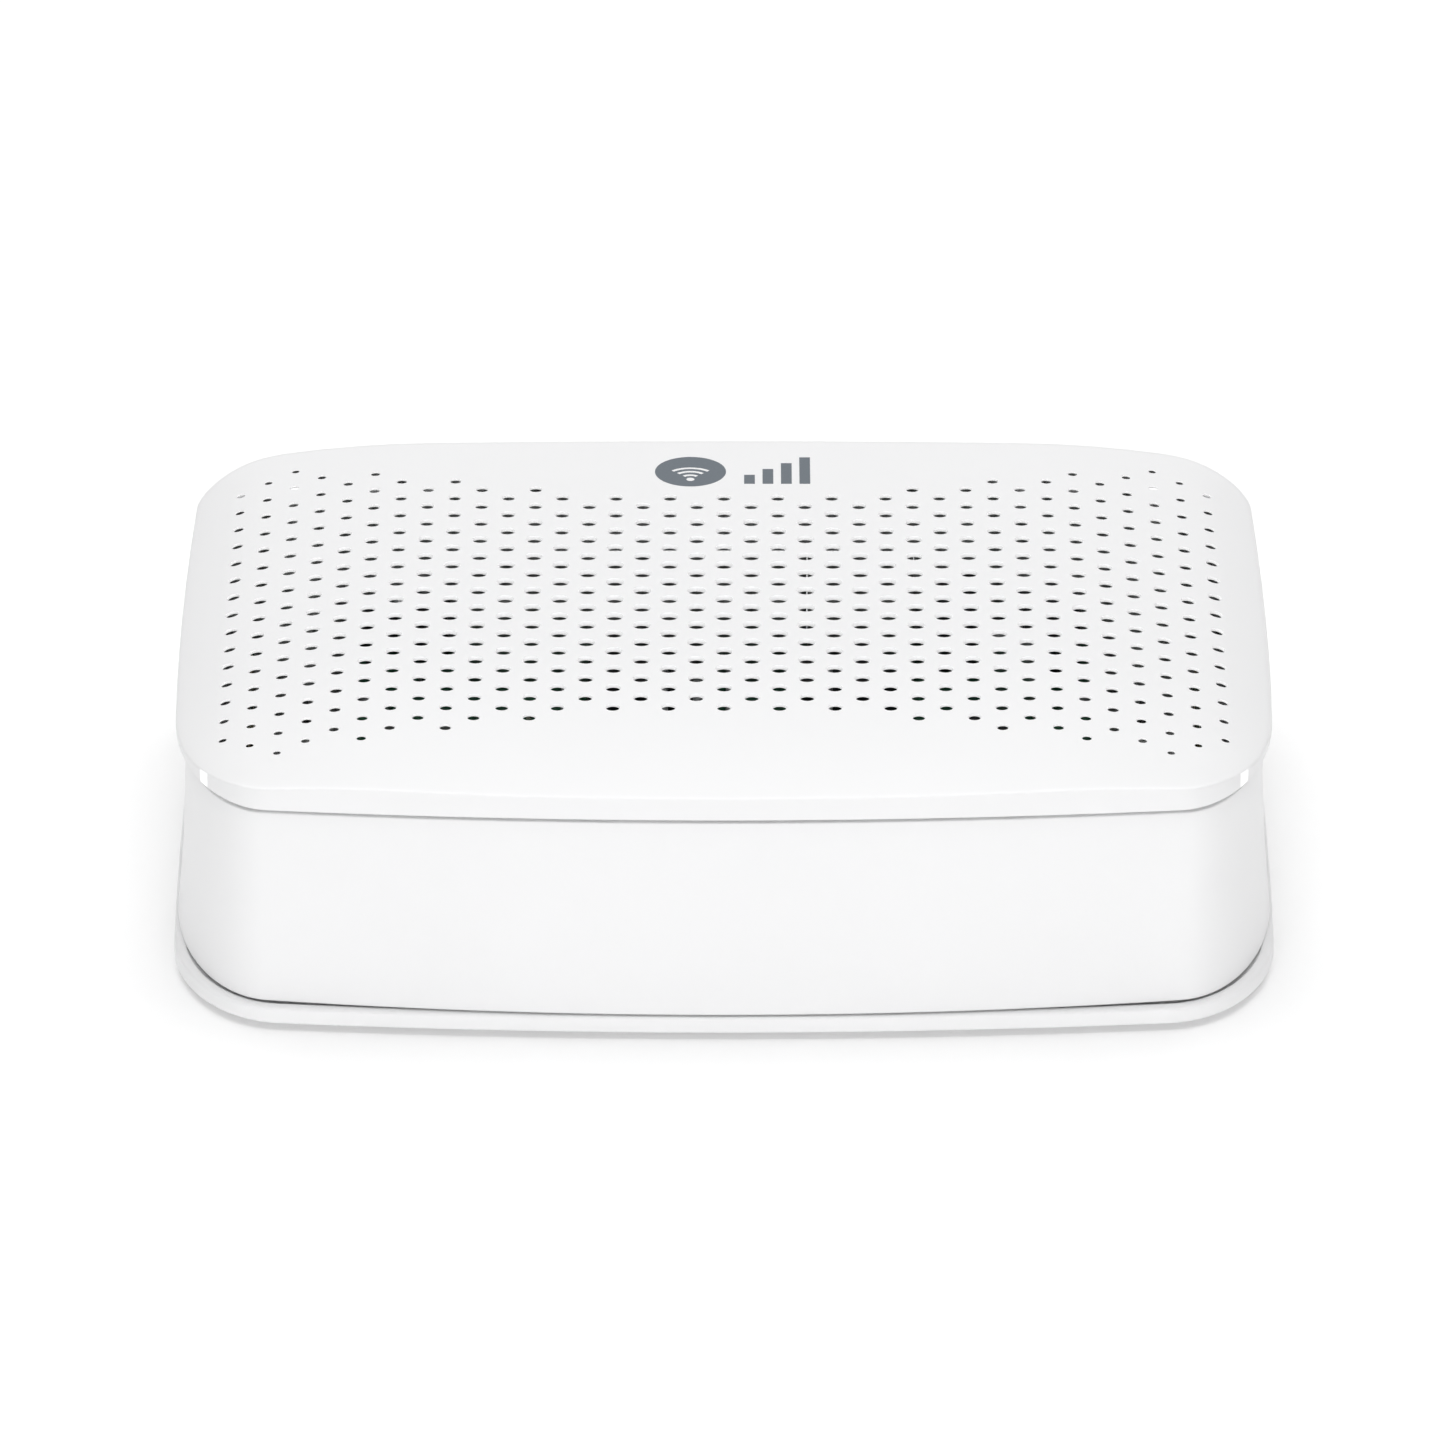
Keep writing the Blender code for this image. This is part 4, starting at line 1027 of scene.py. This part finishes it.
def makeHeatSink():
    # extruded fins with rounded tips on a plate
    low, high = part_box("heat_sink")
    fins, width, plate = 9, 1.2 * mm, 2.5 * mm
    bm = bmesh.new()
    addBox(bm, low, (high.x, high.y, low.z + plate), 0.2 * mm, 2)
    pitch = (high.x - low.x - width) / (fins - 1)
    for i in range(fins):
        x = low.x + i * pitch
        addBox(bm, (x, low.y, low.z + plate * 0.6), (x + width, high.y, high.z), 0.35 * mm, 3)
    piece("finnedSink", bm, finAluminium, stands=["heat_sink"])


legCounts = dict(memory_chip=9, flash_chip=4, network_transformer_1=8, network_transformer_2=8)


def makeChips():
    # packages with bevelled edges and a row of flat legs along two sides
    legs = bmesh.new()
    for name, count in legCounts.items():
        low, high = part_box(name)
        bm = bmesh.new()
        addBox(bm, low + Vector((0.3, 0.3, 0.15)) * mm, high - Vector((0.3, 0.3, 0)) * mm, 0.25 * mm, 2)
        piece(f"{name.replace('_', '')}Package", bm, chipBlack, stands=[name])
        for side in (-1, 1):
            for i in range(count):
                y = low.y + (i + 0.5) * (high.y - low.y) / count
                edge = low.x if side < 0 else high.x
                span = sorted((edge, edge - side * 0.7 * mm))
                addBox(legs, (span[0], y - 0.18 * mm, low.z),
                       (span[1], y + 0.18 * mm, low.z + 0.5 * mm), 0.06 * mm, 1)
    piece("chipLegs", legs, shieldTin)


def makeShields():
    # drawn cans with rounded corners and a lid a step above the walls
    for name in ("radio_shield_low_band", "radio_shield_high_band"):
        low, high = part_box(name)
        bm = bmesh.new()
        addBox(bm, low, (high.x, high.y, high.z - 0.15 * mm), 0.5 * mm, 3)
        addBox(bm, low + Vector((1.2, 1.2, 1.0)) * mm, high - Vector((1.2, 1.2, 0)) * mm, 0.3 * mm, 2)
        piece(f"{name.replace('_', '')}Can", bm, shieldTin, stands=[name])


def makePowerParts():
    for i in (1, 2):
        middle, low, high = middleOf(f"power_capacitor_{i}")
        r = (high.y - low.y) / 2
        profile = [(r * 0.9, low.z), (r, low.z + 0.4 * mm), (r, low.z + 1.5 * mm),
                   (r * 0.93, low.z + 1.9 * mm), (r, low.z + 2.3 * mm), (r, high.z - 0.5 * mm),
                   (r * 0.9, high.z), (r * 0.8, high.z - 0.12 * mm), (0.0, high.z - 0.12 * mm)]
        can = lathe(profile, (middle.x, middle.y, 0), 40)
        piece(f"powerCapacitor{i}", can, finAluminium, stands=[f"power_capacitor_{i}"])
    middle, low, high = middleOf("power_inductor")
    bm = bmesh.new()
    addBox(bm, low, high, 1.1 * mm, 4)
    piece("powerInductor", bm, chipBlack, stands=["power_inductor"])


makeBoard()
makeSmallParts()
makeHeatSink()
makeChips()
makeShields()
makePowerParts()
print("board made")


# screws, feet and label

screw = dict(shank=1.15 * mm, pitch=0.5 * mm, slotDepth=0.55 * mm, slotWidth=0.64 * mm)


def makeScrew(name, stands, headLow, headHigh, domed):
    # headHigh is the driven end; it points down for the case screws
    middle, low, high = middleOf(stands)
    r, shank, pitch = (high.x - low.x) / 2, screw["shank"], screw["pitch"]
    tip = high.z if headHigh < headLow else low.z
    way = 1 if headHigh > headLow else -1
    profile = [(0.0, headHigh), (r * 0.55, headHigh), (r * 0.85, headHigh - way * domed * 0.4)]
    profile += [(r, headHigh - way * domed), (r, headLow), (shank, headLow)]
    threads = int(abs(tip - headLow) / pitch) - 1
    for i in range(threads):
        z = headLow - way * (0.4 * mm + i * pitch)
        profile += [(shank * 0.82, z), (shank, z - way * pitch / 2)]
    profile += [(shank * 0.7, tip + way * 0.3 * mm), (0.0, tip)]
    obj = piece(name, lathe(profile, (middle.x, middle.y, 0), 28), screwSteel, stands=[stands])
    deep, thin, long = screw["slotDepth"], screw["slotWidth"] / 2, r * 0.62
    z = sorted((headHigh + way * mm, headHigh - way * deep))
    for halfX, halfY in ((long, thin), (thin, long)):
        slot = bmesh.new()
        addBox(slot, (middle.x - halfX, middle.y - halfY, z[0]), (middle.x + halfX, middle.y + halfY, z[1]))
        boolean(obj, slot)


def makeFeet():
    for i in range(1, 5):
        middle, low, high = middleOf(f"foot_{i}")
        r = (high.x - low.x) / 2
        rise = high.z - low.z
        profile = [(0.0, low.z), (r * 0.86, low.z), (r * 0.95, low.z + rise * 0.18), (r, low.z + rise * 0.5),
                   (r, high.z - rise * 0.1), (r * 0.98, high.z), (0.0, high.z)]
        piece(f"rubberFoot{i}", lathe(profile, (middle.x, middle.y, 0), 48), footRubber,
              stands=[f"foot_{i}"])
        middle, low, high = middleOf(f"case_screw_{i}")
        makeScrew(f"caseScrew{i}", f"case_screw_{i}", low.z + 0.8 * mm, low.z, 0.3 * mm)
        middle, low, high = middleOf(f"board_screw_{i}")
        makeScrew(f"boardScrew{i}", f"board_screw_{i}", high.z - 1.8 * mm, high.z, 0.7 * mm)


def makeLabel():
    low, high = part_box("rating_label")
    bm = bmesh.new()
    verts = addBox(bm, low, high)
    roundUprights(bm, verts, 2, 1.5 * mm, 6, 0.1 * mm)
    piece("ratingLabel", bm, labelWhite, stands=["rating_label"])


makeFeet()
makeLabel()
print("fasteners made")


# aerials

# folded radiator, in mm along and up from each aerial's lower corner: start, then end
trackBoxes = ((2, 3, 4, 18), (4, 15, 26, 18), (24, 6, 26, 15), (8, 6, 24, 8.5), (8, 8.5, 10, 12))


def makeAerials():
    for i in range(1, 5):
        middle, low, high = middleOf(f"aerial_{i}")
        bm = bmesh.new()
        addBox(bm, low, high, 0.1 * mm, 1)
        piece(f"aerialBoard{i}", bm, boardGreen, stands=[f"aerial_{i}"])
        # printed radiator: a folded strip of copper on the inner face
        face = low.x if low.x > 0 else high.x
        way = -1 if low.x > 0 else 1
        strip = bmesh.new()
        for y0, z0, y1, z1 in trackBoxes:
            span = sorted((face + way * 0.002 * mm, face + way * 0.05 * mm))
            addBox(strip, (span[0], low.y + y0 * mm, low.z + z0 * mm),
                   (span[1], low.y + y1 * mm, low.z + z1 * mm))
        piece(f"aerialTrack{i}", strip, contactGold)
        middle, low, high = middleOf(f"aerial_plug_{i}")
        r = (high.x - low.x) / 2
        profile = [(r, low.z), (r, low.z + 0.4 * mm), (r * 0.8, low.z + 0.5 * mm)]
        profile += [(r * 0.95, low.z + 0.7 * mm), (r * 0.95, high.z - 0.15 * mm)]
        profile += [(r * 0.8, high.z), (0.0, high.z)]
        piece(f"aerialPlug{i}", lathe(profile, (middle.x, middle.y, 0), 28), contactGold,
              stands=[f"aerial_plug_{i}"])


makeAerials()

# what keeps its solid takes a fuller finish
keptFinishes = {"processor_chip": chipBlack, "thermal_pad": padGrey}
keptFinishes.update({f"aerial_lead_{i}": leadBlack for i in range(1, 5)})
for name, finish in keptFinishes.items():
    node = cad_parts[name]
    node.data.materials.clear()
    node.data.materials.append(finish)
print("aerials made")


# stage, light and camera

view = dict(elevation=25.5, distance=1971 * mm, lens=336.0,
            aimY=1.5 * mm, aimDrop=17.56 * mm, side=-0.22 * mm)


studio = dict(worldStrength=0.215, topWatts=17.1, topSize=(1.6, 1.6), topPlace=(0.0, 0.2, 1.2),
              frontWatts=6.0, frontSize=(1.1, 0.35), frontPlace=(0.0, -1.3, 0.31))


def makeStage():
    bm = bmesh.new()
    bmesh.ops.create_grid(bm, x_segments=1, y_segments=1, size=3.0)
    data = bpy.data.meshes.new("floor")
    bm.to_mesh(data)
    bm.free()
    floor = bpy.data.objects.new("floor", data)
    bpy.context.scene.collection.objects.link(floor)
    paper = Finish("paperWhite", (0.95, 0.95, 0.95), 0.9, **{"Specular IOR Level": 0.0})
    paper.set(**{"Emission Color": (1.0, 1.0, 1.0, 1.0), "Emission Strength": 0.12})
    data.materials.append(paper.mat)


def areaLight(name, energy, size, place, aim=(0, 0, 0.02)):
    lamp = bpy.data.lights.new(name, "AREA")
    lamp.energy, lamp.shape, lamp.size, lamp.size_y = energy, "RECTANGLE", size[0], size[1]
    obj = bpy.data.objects.new(name, lamp)
    obj.location = place
    obj.rotation_euler = (Vector(aim) - Vector(place)).to_track_quat("-Z", "Y").to_euler()
    bpy.context.scene.collection.objects.link(obj)


def makeCamera():
    tilt = math.radians(view["elevation"])
    back = Vector((0, -math.cos(tilt), math.sin(tilt)))
    up = Vector((0, math.sin(tilt), math.cos(tilt)))
    aim = Vector((view["side"], view["aimY"], coverHigh.z)) - up * view["aimDrop"]
    data = bpy.data.cameras.new("camera")
    data.lens, data.sensor_width, data.clip_start, data.clip_end = view["lens"], 36.0, 0.05, 20.0
    obj = bpy.data.objects.new("camera", data)
    obj.location = aim + back * view["distance"]
    obj.rotation_euler = (-back).to_track_quat("-Z", "Y").to_euler()
    bpy.context.scene.collection.objects.link(obj)
    bpy.context.scene.camera = obj


def makeLight():
    world = bpy.data.worlds.new("studio")
    world.use_nodes = True
    world.node_tree.nodes["Background"].inputs["Color"].default_value = (1.0, 1.0, 1.0, 1.0)
    world.node_tree.nodes["Background"].inputs["Strength"].default_value = studio["worldStrength"]
    bpy.context.scene.world = world
    areaLight("topSoftbox", studio["topWatts"], studio["topSize"], studio["topPlace"])
    areaLight("frontSoftbox", studio["frontWatts"], studio["frontSize"], studio["frontPlace"])
    bpy.context.scene.view_settings.view_transform = "Standard"
    bpy.context.scene.view_settings.look = "None"


makeStage()
makeCamera()
makeLight()
print("stage made")
